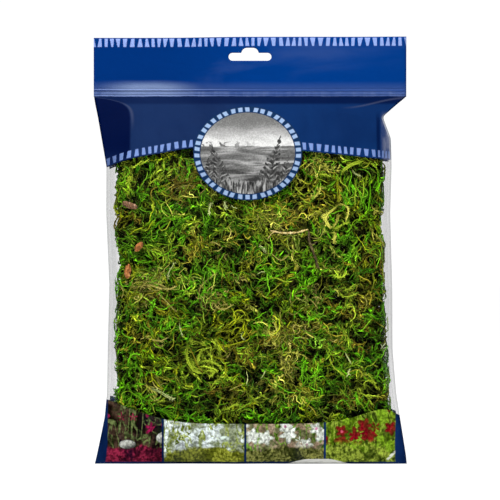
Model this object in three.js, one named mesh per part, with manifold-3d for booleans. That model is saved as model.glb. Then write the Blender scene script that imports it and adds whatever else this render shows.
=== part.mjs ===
import * as THREE from 'three';
import { mergeVertices } from 'three/addons/utils/BufferGeometryUtils.js';
import Module from 'manifold-3d';

// A retail bag of preserved forest moss: clear film with a printed header, a printed foot and side
// gussets, filled with pressed clumps of moss. Millimetres, +Z up, the front faces -Y, and the
// origin is the middle of the flat base.

// Driving dimensions of the bag
const bagHeight = 314;
const flapHalfWidth = 116.5;
const sealTop = 276.7;
const sealBottom = 271.6;
const flapHalfThickness = 0.9;
const sealRibDepth = 0.3;
const filmThickness = 0.8;
const baseThickness = 1.2;
const hollowTop = 266;
const gap = 0.3;

// Hang slot in the header
const slotWidth = 32;
const slotBottom = 297;
const slotTop = 303.2;
const humpHalfWidth = 6.5;
const humpFlatHalfWidth = 2;
const humpTop = 307;

// Round printed emblem, whose lower half reaches below the header's print
const emblemX = -1.7;
const emblemZ = 229;
const emblemRadiusX = 40.1;
const emblemRadiusZ = 35.1;

// Moss fill: clumps of strands pressed side by side, with looser strands across them
const mossSideClearance = 6;
const mossFilmClearance = 1.5;
const mossCornerRadius = 13;
const mossBottom = 3;
const mossTop = 252;
const coreDepth = 8.6;
const patchDepth = 10.5;
const roundLength = 460;
const ridgeRun = 4;
const crestHeight = [-6.6, -5.3, -4.4, -3.9];
const valleyHeight = -7.4;
const strandRadius = 1.8;
const strandLength = 38;
const strandSteps = 4;
const strandLift = [-10.5, -3.6, -2.2, -2.2, -2.6];
const strandCount = 130;
const randomSeed = 41;

// Woodland bits caught between the moss and the film on the front: path or middle in X and Z
const twigPath = [[42.9, 171.4], [44.6, 163], [47.8, 153.5], [51, 144.1]];
const twigRadius = 1.1;
const strawPath = [[15, 171.6], [24, 169.9], [34, 170.2], [43, 172.4]];
const strawRadius = 0.8;
const flakeThickness = 1;
const flakes = [
  { name: 'bark_flake_upper', x: -82, z: 159.6, length: 9, width: 4.6, turn: 0.9 },
  { name: 'bark_flake_lower', x: -90, z: 141.5, length: 11, width: 5, turn: 1.45 },
];
const leafCurl = { x: -88.5, z: 190.3, length: 12, radius: 2.6, wall: 0.8, turn: 0.35 };

// Half-widths, half-depth at the corner creases, extra bulge at the middle of a panel, and how far
// the gusset's middle crease tucks in at each side, from the base up
const bagStations = [
  { z: 0, left: 114.3, right: 115.5, depth: 22, bulge: 0, tuckLeft: 13, tuckRight: 13 },
  { z: 6, left: 112.8, right: 114.8, depth: 24.5, bulge: 2.5, tuckLeft: 11.5, tuckRight: 11.5 },
  { z: 20, left: 109.8, right: 112.6, depth: 25, bulge: 5, tuckLeft: 10, tuckRight: 10 },
  { z: 35, left: 106.8, right: 110.2, depth: 25, bulge: 6.5, tuckLeft: 9, tuckRight: 9 },
  { z: 52, left: 105.2, right: 107.6, depth: 25, bulge: 7, tuckLeft: 8.5, tuckRight: 8.5 },
  { z: 85, left: 104.6, right: 104.8, depth: 25, bulge: 7, tuckLeft: 8, tuckRight: 8 },
  { z: 130, left: 103.4, right: 104.6, depth: 24.5, bulge: 7.5, tuckLeft: 8, tuckRight: 8 },
  { z: 185, left: 105.8, right: 103.2, depth: 23.5, bulge: 7.5, tuckLeft: 8.5, tuckRight: 8 },
  { z: 219, left: 105.8, right: 104.4, depth: 20.5, bulge: 6.5, tuckLeft: 10, tuckRight: 9 },
  { z: 240, left: 109.8, right: 104.2, depth: 14, bulge: 4.5, tuckLeft: 15, tuckRight: 13 },
  { z: 256.4, left: 113, right: 98.5, depth: 7.5, bulge: 2, tuckLeft: 16, tuckRight: 12 },
  { z: 266, left: 115.2, right: 109.5, depth: 3.6, bulge: 0.6, tuckLeft: 8, tuckRight: 8 },
  { z: sealBottom, left: 116.2, right: 116.4, depth: flapHalfThickness, bulge: 0, tuckLeft: 0, tuckRight: 0 },
];
const frontSteps = 8;
const backSteps = 6;
const bulgePower = 2.4;

// Lower edge of the header's print and upper edge of the foot's print, as X, Z points
const headerEdge = [[-125, 210], [-105.8, 218.4], [-88, 224.7], [-64, 229.1], [-43, 232.5],
  [0, 234], [39, 230.5], [104, 223.9], [125, 221.5]];
const footEdge = [[-125, 53], [-105, 47.3], [-58, 32.3], [0, 29.9], [60, 31.5], [96, 40.3],
  [110, 36], [125, 33]];

const wasm = await Module();
wasm.setup();

function seededRandom(seed) {
  let state = seed;
  return () => {
    state = (state * 1664525 + 1013904223) % 4294967296;
    return state / 4294967296;
  };
}

function toSolid(geometry) {
  const bare = geometry.clone();
  bare.deleteAttribute('normal');
  bare.deleteAttribute('uv');
  const merged = mergeVertices(bare, 1e-4);
  return new wasm.Manifold(new wasm.Mesh({
    numProp: 3,
    vertProperties: new Float32Array(merged.attributes.position.array),
    triVerts: new Uint32Array(merged.index.array),
  }));
}

function toGeometry(solid) {
  const mesh = solid.getMesh();
  const geometry = new THREE.BufferGeometry();
  geometry.setAttribute('position', new THREE.BufferAttribute(mesh.vertProperties, 3));
  geometry.setIndex(new THREE.BufferAttribute(mesh.triVerts, 1));
  geometry.computeVertexNormals();
  return geometry;
}

function largestBody(solid) {
  return solid.decompose().reduce((best, body) => (body.volume() > best.volume() ? body : best));
}

// The bag's shape at any height, between two of its stations
function bagAt(z) {
  const last = bagStations.length - 1;
  const clamped = Math.min(Math.max(z, 0), bagStations[last].z);
  let upper = 1;
  while (upper < last && bagStations[upper].z < clamped) upper += 1;
  const a = bagStations[upper - 1];
  const b = bagStations[upper];
  const share = (clamped - a.z) / (b.z - a.z);
  const shape = {};
  for (const key of Object.keys(a)) shape[key] = THREE.MathUtils.lerp(a[key], b[key], share);
  shape.z = z;
  return shape;
}

// The same shape moved inwards by an even distance, measured square to each panel
function insetBag(shape, distance) {
  const angleLeft = Math.atan2(shape.depth, shape.tuckLeft);
  const angleRight = Math.atan2(shape.depth, shape.tuckRight);
  const left = shape.left - distance / Math.tan(angleLeft / 2);
  const right = shape.right - distance / Math.tan(angleRight / 2);
  return {
    z: shape.z,
    left,
    right,
    depth: shape.depth - distance,
    bulge: shape.bulge,
    tuckLeft: left - (shape.left - shape.tuckLeft - distance / Math.sin(angleLeft)),
    tuckRight: right - (shape.right - shape.tuckRight - distance / Math.sin(angleRight)),
  };
}

// Half-depth of a panel at x
function panelDepth(shape, x) {
  const reach = x < 0 ? shape.left : shape.right;
  const across = Math.min(Math.abs(x) / reach, 1);
  return shape.depth + shape.bulge * (1 - across ** bulgePower);
}

// One closed outline of the bag: front panel, right gusset, back panel, left gusset
function bagOutline(shape) {
  const points = [];
  for (let i = 0; i <= frontSteps; i += 1) {
    const x = THREE.MathUtils.lerp(-shape.left, shape.right, i / frontSteps);
    points.push(new THREE.Vector2(x, -panelDepth(shape, x)));
  }
  points.push(new THREE.Vector2(shape.right - shape.tuckRight, 0));
  for (let i = 0; i <= backSteps; i += 1) {
    const x = THREE.MathUtils.lerp(shape.right, -shape.left, i / backSteps);
    points.push(new THREE.Vector2(x, panelDepth(shape, x)));
  }
  points.push(new THREE.Vector2(-shape.left + shape.tuckLeft, 0));
  return points;
}

// Closed skin through outlines with the same number of points, from the lowest to the highest
function loft(levels) {
  const count = levels[0].outline.length;
  const positions = [];
  const faces = [];
  levels.forEach(({ z, outline }) => outline.forEach((p) => positions.push(p.x, p.y, z)));
  for (let k = 0; k + 1 < levels.length; k += 1) {
    for (let i = 0; i < count; i += 1) {
      const j = (i + 1) % count;
      const low = k * count;
      const high = low + count;
      faces.push(low + i, low + j, high + j);
      faces.push(low + i, high + j, high + i);
    }
  }
  const top = (levels.length - 1) * count;
  for (const [a, b, c] of THREE.ShapeUtils.triangulateShape(levels[0].outline, [])) faces.push(c, b, a);
  for (const [a, b, c] of THREE.ShapeUtils.triangulateShape(levels.at(-1).outline, [])) {
    faces.push(top + a, top + b, top + c);
  }
  const geometry = new THREE.BufferGeometry();
  geometry.setAttribute('position', new THREE.Float32BufferAttribute(positions, 3));
  geometry.setIndex(faces);
  return toSolid(geometry);
}

// Outline in X and Z carried along Y
function prismAlongY(shape, yFrom, yTo) {
  const geometry = new THREE.ExtrudeGeometry(shape, {
    depth: yTo - yFrom,
    bevelEnabled: false,
    curveSegments: 14,
  });
  geometry.rotateX(Math.PI / 2);
  geometry.translate(0, yTo, 0);
  return toSolid(geometry);
}

function splineEdge(points, rise) {
  const knots = points.map(([x, z]) => new THREE.Vector2(x, z + rise));
  return new THREE.SplineCurve(knots).getPoints(20);
}

const bagHeights = [...bagStations.slice(0, -1).map((station) => station.z), 108, 158, 202, 230, 248];
bagHeights.sort((a, b) => a - b);

// The space inside the bag, from just above its base, at an even distance from the outer face
function bagInside(distance, floor) {
  const heights = [floor, ...bagHeights.filter((z) => z > floor && z < hollowTop), hollowTop];
  return loft(heights.map((z) => ({ z, outline: bagOutline(insetBag(bagAt(z), distance)) })));
}

function bagShell() {
  const outer = bagHeights.map((z) => ({ z, outline: bagOutline(bagAt(z)) }));
  const ribCount = 2;
  const ribPitch = (sealTop - sealBottom) / (2 * ribCount);
  const flap = { ...bagAt(sealBottom), left: flapHalfWidth, right: flapHalfWidth };
  for (let i = 0; i <= 2 * ribCount; i += 1) {
    const depth = flapHalfThickness - (i % 2) * sealRibDepth;
    const edges = i === 0 ? bagAt(sealBottom) : flap;
    outer.push({ z: sealBottom + i * ribPitch, outline: bagOutline({ ...edges, depth }) });
  }
  outer.push({ z: bagHeight, outline: bagOutline(flap) });
  return loft(outer).subtract(bagInside(filmThickness, baseThickness));
}

function hangSlot() {
  const radius = (slotTop - slotBottom) / 2;
  const middle = slotBottom + radius;
  const reach = slotWidth / 2 - radius;
  const shape = new THREE.Shape();
  shape.moveTo(-reach, slotBottom);
  shape.lineTo(reach, slotBottom);
  shape.absarc(reach, middle, radius, -Math.PI / 2, Math.PI / 2, false);
  shape.lineTo(humpHalfWidth, slotTop);
  shape.quadraticCurveTo(humpHalfWidth * 0.85, humpTop, humpFlatHalfWidth, humpTop);
  shape.lineTo(-humpFlatHalfWidth, humpTop);
  shape.quadraticCurveTo(-humpHalfWidth * 0.85, humpTop, -humpHalfWidth, slotTop);
  shape.lineTo(-reach, slotTop);
  shape.absarc(-reach, middle, radius, Math.PI / 2, Math.PI * 1.5, false);
  return prismAlongY(shape, -10, 10);
}

// Everything above the header's printed edge, with the emblem on the front
function headerZone(grow) {
  const edge = splineEdge(headerEdge, -grow);
  const shape = new THREE.Shape([...edge, new THREE.Vector2(125, 330), new THREE.Vector2(-125, 330)]);
  const emblem = new THREE.Shape();
  emblem.absellipse(emblemX, emblemZ, emblemRadiusX + grow, emblemRadiusZ + grow, 0, Math.PI * 2, false, 0);
  return prismAlongY(shape, -60, 60).add(prismAlongY(emblem, -60, 0));
}

function footZone(grow) {
  const edge = splineEdge(footEdge, grow);
  const shape = new THREE.Shape([new THREE.Vector2(-125, -10), new THREE.Vector2(125, -10), ...edge.reverse()]);
  return prismAlongY(shape, -60, 60);
}

// The moss fill's outer limit: a rounded rectangle at each height, walked by length
function mossAt(z) {
  const shape = bagAt(Math.min(z, mossTop));
  const depth = shape.depth - filmThickness - mossFilmClearance;
  return {
    left: shape.left - mossSideClearance,
    right: shape.right - mossSideClearance,
    depth,
    bulge: shape.bulge,
    radius: Math.min(mossCornerRadius, depth * 0.9),
    shape,
  };
}

// Point and outward direction at a share of the way round, from the left end of the front's flat run
function mossSkin(share, z, height) {
  const m = mossAt(z);
  const flat = m.left + m.right - 2 * m.radius;
  const side = 2 * (m.depth - m.radius);
  const arc = (Math.PI / 2) * m.radius;
  const runs = [flat, arc, side, arc, flat, arc, side, arc];
  let along = (share - Math.floor(share)) * runs.reduce((a, b) => a + b, 0);
  let run = 0;
  while (along > runs[run] && run < 7) {
    along -= runs[run];
    run += 1;
  }
  const corners = [[m.right, -1], [m.right, 1], [-m.left, 1], [-m.left, -1]];
  const point = new THREE.Vector3(0, 0, z);
  const out = new THREE.Vector3();
  if (run % 2 === 1) {
    const [edge, face] = corners[(run - 1) / 2];
    const turn = (run - 1) * (Math.PI / 4) - Math.PI / 2 + along / m.radius;
    out.set(Math.cos(turn), Math.sin(turn), 0);
    point.x = edge - Math.sign(edge) * m.radius + out.x * m.radius;
    point.y = face * (m.depth - m.radius) + out.y * m.radius;
  } else if (run === 0) {
    point.set(-m.left + m.radius + along, -m.depth, z);
    out.set(0, -1, 0);
  } else if (run === 2) {
    point.set(m.right, -m.depth + m.radius + along, z);
    out.set(1, 0, 0);
  } else if (run === 4) {
    point.set(m.right - m.radius - along, m.depth, z);
    out.set(0, 1, 0);
  } else {
    point.set(-m.left, m.depth - m.radius - along, z);
    out.set(-1, 0, 0);
  }
  const extra = panelDepth(m.shape, point.x) - m.shape.depth;
  point.y += Math.sign(point.y) * extra * Math.min(1, Math.abs(point.y) / (m.depth * 0.8));
  return { point: point.addScaledVector(out, height), out };
}

// Keeps a point clear of the film by a margin
function insideFilm(point, margin) {
  const shape = bagAt(point.z);
  const free = filmThickness + margin;
  const depth = panelDepth(shape, point.x) - free;
  point.y = Math.min(Math.max(point.y, -depth), depth);
  const open = 1 - Math.min(Math.abs(point.y) / shape.depth, 1);
  const right = shape.right - shape.tuckRight * open - free / Math.sin(Math.atan2(shape.depth, shape.tuckRight));
  const left = shape.left - shape.tuckLeft * open - free / Math.sin(Math.atan2(shape.depth, shape.tuckLeft));
  point.x = Math.min(Math.max(point.x, -left), right);
  return point;
}

// The pressed mass under the strands, before it is parted into clumps
function mossCore() {
  const around = 24;
  const rise = 8;
  const levels = [];
  for (let k = 0; k <= rise; k += 1) {
    const z = THREE.MathUtils.lerp(mossBottom, mossTop, k / rise);
    const deep = Math.min(coreDepth, mossAt(z).radius - 2);
    const outline = [];
    for (let i = 0; i < around; i += 1) {
      const point = insideFilm(mossSkin(i / around, z, -deep).point, 2);
      outline.push(new THREE.Vector2(point.x, point.y));
    }
    levels.push({ z, outline });
  }
  return loft(levels);
}

// Clumps fill the bag like a jigsaw: each is what lies nearer its own middle than any other
const clumpLayers = [
  { name: 'moss_front', y: -15, columns: 3, rows: 4, jitter: 34, reach: 60, pitch: 4.3, step: 12 },
  { name: 'moss_back', y: 15, columns: 2, rows: 3, jitter: 40, reach: 74, pitch: 5.2, step: 14 },
];
const mossTones = [0x5d9a1e, 0x6b7a24, 0x74a828, 0x3f7a1c, 0x8a9a2a, 0x7d7830];

function clumpSites(random) {
  const sites = [];
  for (const layer of clumpLayers) {
    for (let row = 0; row < layer.rows; row += 1) {
      for (let column = 0; column < layer.columns; column += 1) {
        const x = ((column + 0.5) / layer.columns - 0.5) * 205 + (random() - 0.5) * layer.jitter;
        const z = mossBottom + ((row + 0.5) / layer.rows) * (mossTop - mossBottom);
        sites.push({
          layer,
          name: `${layer.name}_${row * layer.columns + column + 1}`,
          middle: new THREE.Vector3(x, layer.y + (random() - 0.5) * 6, z + (random() - 0.5) * layer.jitter),
          heading: random() * Math.PI * 2,
          cross: 0.9 + random() * 1.2,
          curl: (random() < 0.5 ? -1 : 1) * (0.1 + 0.25 * random()),
          bow: (random() - 0.5) * 0.8,
        });
      }
    }
  }
  return sites;
}

// The flat borders of a clump with its neighbours, as outward directions and distances
function clumpBorders(site, sites) {
  return sites.filter((other) => other !== site).map((other) => {
    const normal = other.middle.clone().sub(site.middle).normalize();
    const halfway = other.middle.clone().add(site.middle).multiplyScalar(0.5);
    return { normal, distance: normal.dot(halfway) - gap / 2 };
  });
}

function insideClump(point, borders, margin) {
  for (let pass = 0; pass < 3; pass += 1) {
    for (const { normal, distance } of borders) {
      const over = normal.dot(point) - distance + margin;
      if (over > 0) point.addScaledVector(normal, -over);
    }
  }
  return point;
}

// A clump's strands side by side: ridges along its heading, each rising to a tip and starting again
function ridgePatch(site, random) {
  const m = mossAt(site.middle.z);
  const flat = m.left + m.right - 2 * m.radius;
  const front = site.middle.y < 0;
  const turnLength = 2 * (Math.PI / 2) * m.radius + 2 * (m.depth - m.radius);
  const along = front ? site.middle.x + m.left - m.radius : flat + turnLength + m.right - m.radius - site.middle.x;
  const total = 2 * flat + 2 * turnLength;
  const { reach, pitch, step } = site.layer;
  const rows = Math.round((2 * reach) / step);
  const columns = Math.round((2 * reach) / pitch);
  const positions = [];
  const inner = [];
  const phases = Array.from({ length: columns + 1 }, () => Math.floor(random() * ridgeRun));
  for (let i = 0; i <= rows; i += 1) {
    for (let j = 0; j <= columns; j += 1) {
      const u = THREE.MathUtils.lerp(-reach, reach, i / rows);
      const v = THREE.MathUtils.lerp(-reach, reach, j / columns) + site.bow * ((u * u) / reach)
        + Math.sin(u * 0.11 + site.cross * 9) * 2.2 + (random() - 0.5) * 1.1;
      const s = along / total + (u * Math.cos(site.heading) - v * Math.sin(site.heading)) / roundLength;
      const z = site.middle.z + u * Math.sin(site.heading) + v * Math.cos(site.heading);
      const crest = j % 2 === 1 ? crestHeight[(i + phases[j]) % ridgeRun] : valleyHeight;
      const room = mossAt(z).radius;
      const top = mossSkin(s, z, Math.max(crest + (random() - 0.5) * 0.7, 1.5 - room)).point;
      const low = mossSkin(s, z, Math.max(-patchDepth, 1 - room)).point;
      if (z < mossTop && z > 0) insideFilm(top, 0.9);
      if (z < mossTop && z > 0) insideFilm(low, 3);
      positions.push(top.x, top.y, top.z);
      inner.push(low.x, low.y, low.z);
    }
  }
  const width = columns + 1;
  const under = (rows + 1) * width;
  const faces = [];
  const quad = (a, b, c, d) => faces.push(a, b, c, a, c, d);
  for (let i = 0; i < rows; i += 1) {
    for (let j = 0; j < columns; j += 1) {
      const a = i * width + j;
      quad(a, a + width, a + width + 1, a + 1);
      quad(under + a, under + a + 1, under + a + width + 1, under + a + width);
    }
  }
  for (let i = 0; i < rows; i += 1) {
    const a = i * width;
    const b = a + columns;
    quad(a, under + a, under + a + width, a + width);
    quad(b, b + width, under + b + width, under + b);
  }
  for (let j = 0; j < columns; j += 1) {
    const b = rows * width + j;
    quad(j, j + 1, under + j + 1, under + j);
    quad(b, under + b, under + b + 1, b + 1);
  }
  const geometry = new THREE.BufferGeometry();
  geometry.setAttribute('position', new THREE.Float32BufferAttribute([...positions, ...inner], 3));
  geometry.setIndex(faces);
  return toSolid(geometry);
}

// Three-sided strand through the given points, thick in the middle and ending in a point
function strandSolid(points, radius) {
  const positions = [];
  const faces = [];
  const side = new THREE.Vector3(0, 0, 1);
  const last = points.length - 1;
  for (let k = 0; k < last; k += 1) {
    const along = points[k + 1].clone().sub(points[Math.max(k - 1, 0)]).normalize();
    if (k === 0 && Math.abs(along.z) > 0.9) side.set(1, 0, 0);
    const across = new THREE.Vector3().crossVectors(along, side).normalize();
    side.crossVectors(across, along).normalize();
    const size = radius * (1 - 0.3 * Math.abs(k / last - 0.4) * 2);
    for (let i = 0; i < 3; i += 1) {
      const turn = (i / 3) * Math.PI * 2;
      const p = points[k].clone();
      p.addScaledVector(across, Math.cos(turn) * size).addScaledVector(side, Math.sin(turn) * size);
      positions.push(p.x, p.y, p.z);
    }
  }
  positions.push(points[last].x, points[last].y, points[last].z);
  faces.push(0, 1, 2);
  for (let k = 0; k < last; k += 1) {
    for (let i = 0; i < 3; i += 1) {
      const j = (i + 1) % 3;
      const a = k * 3;
      if (k + 1 < last) {
        faces.push(a + i, a + 3 + i, a + 3 + j);
        faces.push(a + i, a + 3 + j, a + j);
      } else {
        faces.push(a + i, last * 3, a + j);
      }
    }
  }
  const geometry = new THREE.BufferGeometry();
  geometry.setAttribute('position', new THREE.Float32BufferAttribute(positions, 3));
  geometry.setIndex(faces);
  return toSolid(geometry);
}

// Shares of the way round where the front, right side, back and left side end, and how the strands
// are shared out among them: closer together on the front
const sideEnds = [0.374, 0.5, 0.874, 1];
const strandEnds = [0.44, 0.56, 0.88, 1];

function shareOut(even) {
  const side = strandEnds.findIndex((end) => even < end);
  const from = side === 0 ? 0 : strandEnds[side - 1];
  const low = side === 0 ? 0 : sideEnds[side - 1];
  return low + ((even - from) / (strandEnds[side] - from)) * (sideEnds[side] - low);
}

// A strand rooted in the core that arches up under the film like thatch, or null where it would kink
function growStrand(index, random, sites) {
  const share = shareOut((index * 0.7548776662) % 1);
  const z = THREE.MathUtils.lerp(mossBottom + 6, mossTop - 8, (index * 0.569840291) % 1);
  const root = mossSkin(share, z, -coreDepth);
  const site = sites.reduce((a, b) => (
    a.middle.distanceTo(root.point) < b.middle.distanceTo(root.point) ? a : b));
  let heading = random() * Math.PI * 2;
  const curl = site.curl * (0.6 + 0.8 * random());
  const step = (strandLength * (0.75 + 0.5 * random())) / strandSteps;
  const radius = strandRadius * (0.8 + 0.35 * random());
  const points = [];
  let s = share;
  let height = z;
  for (let k = 0; k <= strandSteps; k += 1) {
    const lift = Math.min(strandLift[k] + (random() - 0.5) * 0.6, -radius - 0.2);
    const point = mossSkin(s, THREE.MathUtils.clamp(height, mossBottom + 2, mossTop), lift).point;
    insideFilm(point, radius + 0.7);
    insideClump(point, site.borders, radius);
    insideFilm(point, radius + 0.7);
    points.push(point);
    heading += curl;
    s += (Math.cos(heading) * step) / roundLength;
    height += Math.sin(heading) * step;
  }
  for (let k = 1; k < strandSteps; k += 1) {
    const before = points[k].clone().sub(points[k - 1]);
    const after = points[k + 1].clone().sub(points[k]);
    if (before.length() < 3 || after.length() < 3 || before.angleTo(after) > 1.25) return null;
  }
  return { site, solid: strandSolid(points, radius) };
}

// A depth just behind the front film at x and z
function behindFilm(x, z, depth) {
  return -(panelDepth(bagAt(z), x) - filmThickness - depth);
}

function polygon(sides, radius) {
  const corners = Array.from({ length: sides }, (_, i) => {
    const turn = (i / sides) * Math.PI * 2;
    return new THREE.Vector2(Math.cos(turn) * radius, Math.sin(turn) * radius);
  });
  return new THREE.Shape(corners);
}

// Round stick along a path behind the film
function stick(path, radius, sides, grow) {
  const points = path.map(([x, z]) => new THREE.Vector3(x, behindFilm(x, z, radius + 0.7), z));
  const along = points[1].clone().sub(points[0]).normalize();
  points[0].addScaledVector(along, -grow);
  points.at(-1).addScaledVector(along, grow);
  return toSolid(new THREE.ExtrudeGeometry(polygon(sides, radius + grow), {
    steps: 6,
    extrudePath: new THREE.CatmullRomCurve3(points),
  }));
}

function twig(grow) {
  const spur = [[45.2, 161], [49.4, 163.5]];
  return stick(twigPath, twigRadius, 6, grow).add(stick(spur, twigRadius * 0.6, 5, grow));
}

function straw(grow) {
  return stick(strawPath, strawRadius, 5, grow);
}

// Flat chip with an uneven outline, turned in the plane of the front
function barkFlake(flake, grow) {
  const outline = [[-0.5, -0.1], [-0.28, -0.42], [0.1, -0.5], [0.44, -0.3], [0.5, 0.12], [0.2, 0.46], [-0.3, 0.4]];
  const shape = new THREE.Shape(outline.map(([u, v]) => new THREE.Vector2(
    u * (flake.length + 2 * grow),
    v * (flake.width + 2 * grow),
  )));
  const geometry = new THREE.ExtrudeGeometry(shape, { depth: flakeThickness + 2 * grow, bevelEnabled: false });
  geometry.translate(0, 0, -grow - flakeThickness / 2);
  geometry.rotateZ(flake.turn);
  geometry.rotateX(Math.PI / 2);
  geometry.translate(flake.x, behindFilm(flake.x, flake.z, 1.8), flake.z);
  return toSolid(geometry);
}

// Dry leaf rolled into an open gutter
function dryLeaf(grow) {
  const { x, z, length, radius, wall, turn } = leafCurl;
  const shape = new THREE.Shape();
  if (grow > 0) {
    shape.absarc(0, 0, radius + grow, 0, Math.PI * 2, false);
  } else {
    shape.absarc(0, 0, radius, -0.5, Math.PI + 0.4, false);
    shape.absarc(0, 0, radius - wall, Math.PI + 0.4, -0.5, true);
  }
  const geometry = new THREE.ExtrudeGeometry(shape, {
    depth: length + 2 * grow,
    bevelEnabled: false,
    curveSegments: 6,
  });
  geometry.translate(0, 0, -grow - length / 2);
  geometry.rotateY(Math.PI / 2);
  geometry.rotateY(turn);
  geometry.translate(x, behindFilm(x, z, radius + 0.7), z);
  return toSolid(geometry);
}

const debris = [
  { name: 'twig', make: twig, colour: 0x3b2a1a },
  { name: 'straw', make: straw, colour: 0xb9a768 },
  { name: 'dry_leaf', make: dryLeaf, colour: 0x9a6a44 },
  ...flakes.map((flake) => ({ name: flake.name, make: (grow) => barkFlake(flake, grow), colour: 0xa36b3c })),
];

const group = new THREE.Group();

function addMesh(name, solid, colour, finish) {
  const mesh = new THREE.Mesh(toGeometry(solid), new THREE.MeshStandardMaterial({ color: colour, ...finish }));
  mesh.name = name;
  group.add(mesh);
}

function addBag() {
  const shell = bagShell();
  const header = shell.intersect(headerZone(0)).subtract(hangSlot());
  const foot = shell.intersect(footZone(0));
  const window = shell.subtract(headerZone(gap)).subtract(footZone(gap));
  addMesh('bag_header', header, 0x12357f, { roughness: 0.35, metalness: 0 });
  addMesh('bag_window', window, 0xe8ecec, { roughness: 0.1, metalness: 0, transparent: true, opacity: 0.25 });
  addMesh('bag_foot', foot, 0x1c3a72, { roughness: 0.35, metalness: 0 });
}

function addMoss() {
  const random = seededRandom(randomSeed);
  const sites = clumpSites(random);
  for (const site of sites) {
    site.borders = clumpBorders(site, sites);
    site.strands = [];
  }
  for (let i = 0; i < strandCount; i += 1) {
    const strand = growStrand(i, random, sites);
    if (strand) strand.site.strands.push(strand.solid);
  }
  const core = mossCore();
  const room = bagInside(filmThickness + 2 * gap, mossBottom);
  const pockets = debris.map(({ make }) => make(gap));
  sites.forEach((site, index) => {
    let clump = core.add(ridgePatch(site, random));
    clump = clump.trimByPlane([0, 0, 1], mossBottom).trimByPlane([0, 0, -1], -mossTop);
    for (const { normal, distance } of site.borders) {
      clump = clump.trimByPlane([-normal.x, -normal.y, -normal.z], -distance);
    }
    for (const strand of site.strands) clump = clump.add(strand);
    clump = clump.intersect(room);
    for (const pocket of pockets) clump = clump.subtract(pocket);
    addMesh(site.name, largestBody(clump), mossTones[index % mossTones.length], { roughness: 0.8, metalness: 0 });
  });
}

function addDebris() {
  for (const { name, make, colour } of debris) addMesh(name, make(0), colour, { roughness: 0.8, metalness: 0 });
}

addBag();
addMoss();
addDebris();

export default group;
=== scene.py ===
import math

import bpy
import numpy as np
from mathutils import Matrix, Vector


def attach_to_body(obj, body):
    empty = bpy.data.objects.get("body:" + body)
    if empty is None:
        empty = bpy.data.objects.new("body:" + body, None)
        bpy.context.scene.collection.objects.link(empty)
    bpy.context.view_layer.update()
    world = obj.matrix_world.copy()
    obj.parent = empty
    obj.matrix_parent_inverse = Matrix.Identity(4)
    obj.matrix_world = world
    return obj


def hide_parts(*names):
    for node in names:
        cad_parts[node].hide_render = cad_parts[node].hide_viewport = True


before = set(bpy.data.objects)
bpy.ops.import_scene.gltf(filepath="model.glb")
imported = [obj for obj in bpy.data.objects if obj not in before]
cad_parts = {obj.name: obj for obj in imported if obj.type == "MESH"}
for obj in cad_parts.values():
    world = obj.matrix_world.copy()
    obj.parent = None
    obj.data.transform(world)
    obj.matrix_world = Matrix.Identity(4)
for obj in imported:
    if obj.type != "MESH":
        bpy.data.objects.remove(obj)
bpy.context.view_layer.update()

# A clear film bag of preserved forest moss with a blue printed header and foot.
# Lengths below are millimetres, in the frame's own axes: the front faces -Y and Z is up.
mm = 0.001

bag = {
    "height": 314,
    "flapHalfWidth": 116.5,
    "sealBottom": 271.6,
    "sealTop": 276.7,
    "bulgePower": 2.4,
    "straightHalfWidth": 85,  # inside this the columns of the mesh run straight up
    "straightShare": 0.8,
    "filmThickness": 0.8,
    "printGloss": 0.004,
    # height, half-width left and right, half-depth at the creases, extra bulge, tuck left and right
    "stations": [
        (0, 114.3, 115.5, 22, 0, 13, 13),
        (6, 112.8, 114.8, 24.5, 2.5, 11.5, 11.5),
        (20, 109.8, 112.6, 25, 5, 10, 10),
        (35, 106.8, 110.2, 25, 6.5, 9, 9),
        (52, 105.2, 107.6, 25, 7, 8.5, 8.5),
        (85, 104.6, 104.8, 25, 7, 8, 8),
        (130, 103.4, 104.6, 24.5, 7.5, 8, 8),
        (185, 105.8, 103.2, 23.5, 7.5, 8.5, 8),
        (219, 105.8, 104.4, 20.5, 6.5, 10, 9),
        (240, 109.8, 104.2, 14, 4.5, 15, 13),
        (256.4, 113, 98.5, 7.5, 2, 16, 12),
        (266, 115.2, 109.5, 3.6, 0.6, 8, 8),
        (271.6, 116.2, 116.4, 0.9, 0, 0, 0),
    ],
    # lower edge of the header's print and upper edge of the foot's print
    "headerEdge": [(-125, 210), (-105.8, 218.4), (-88, 224.7), (-64, 229.1), (-43, 232.5), (0, 234),
                   (39, 230.5), (104, 223.9), (125, 221.5)],
    "footEdge": [(-125, 53), (-105, 47.3), (-58, 32.3), (0, 29.9), (60, 31.5), (96, 40.3), (110, 36),
                 (125, 33)],
}
emblem = {"x": -1.7, "z": 229, "radiusX": 40.1, "radiusZ": 35.1, "pictureShare": 0.868, "dashes": 42}
partNames = ("left", "right", "depth", "bulge", "tuckLeft", "tuckRight")


# Small helpers for meshes

def addObject(name, data):
    made = bpy.data.objects.new(name, data)
    bpy.context.scene.collection.objects.link(made)
    return made


def makePiece(name, points, faces, smooth=True):
    mesh = bpy.data.meshes.new(name)
    mesh.from_pydata((np.asarray(points) * mm).tolist(), [], faces)
    mesh.polygons.foreach_set("use_smooth", [smooth] * len(mesh.polygons))
    mesh.update()
    return addObject(name, mesh)


def gridFaces(rows, columns, closed=False):
    faces = []
    for i in range(rows - 1):
        for j in range(columns if closed else columns - 1):
            here, right = i * columns + j, i * columns + (j + 1) % columns
            faces.append((here, right, right + columns, here + columns))
    return faces


def shifted(faces, offset, turned=False):
    return [tuple(offset + k for k in (reversed(face) if turned else face)) for face in faces]


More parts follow.
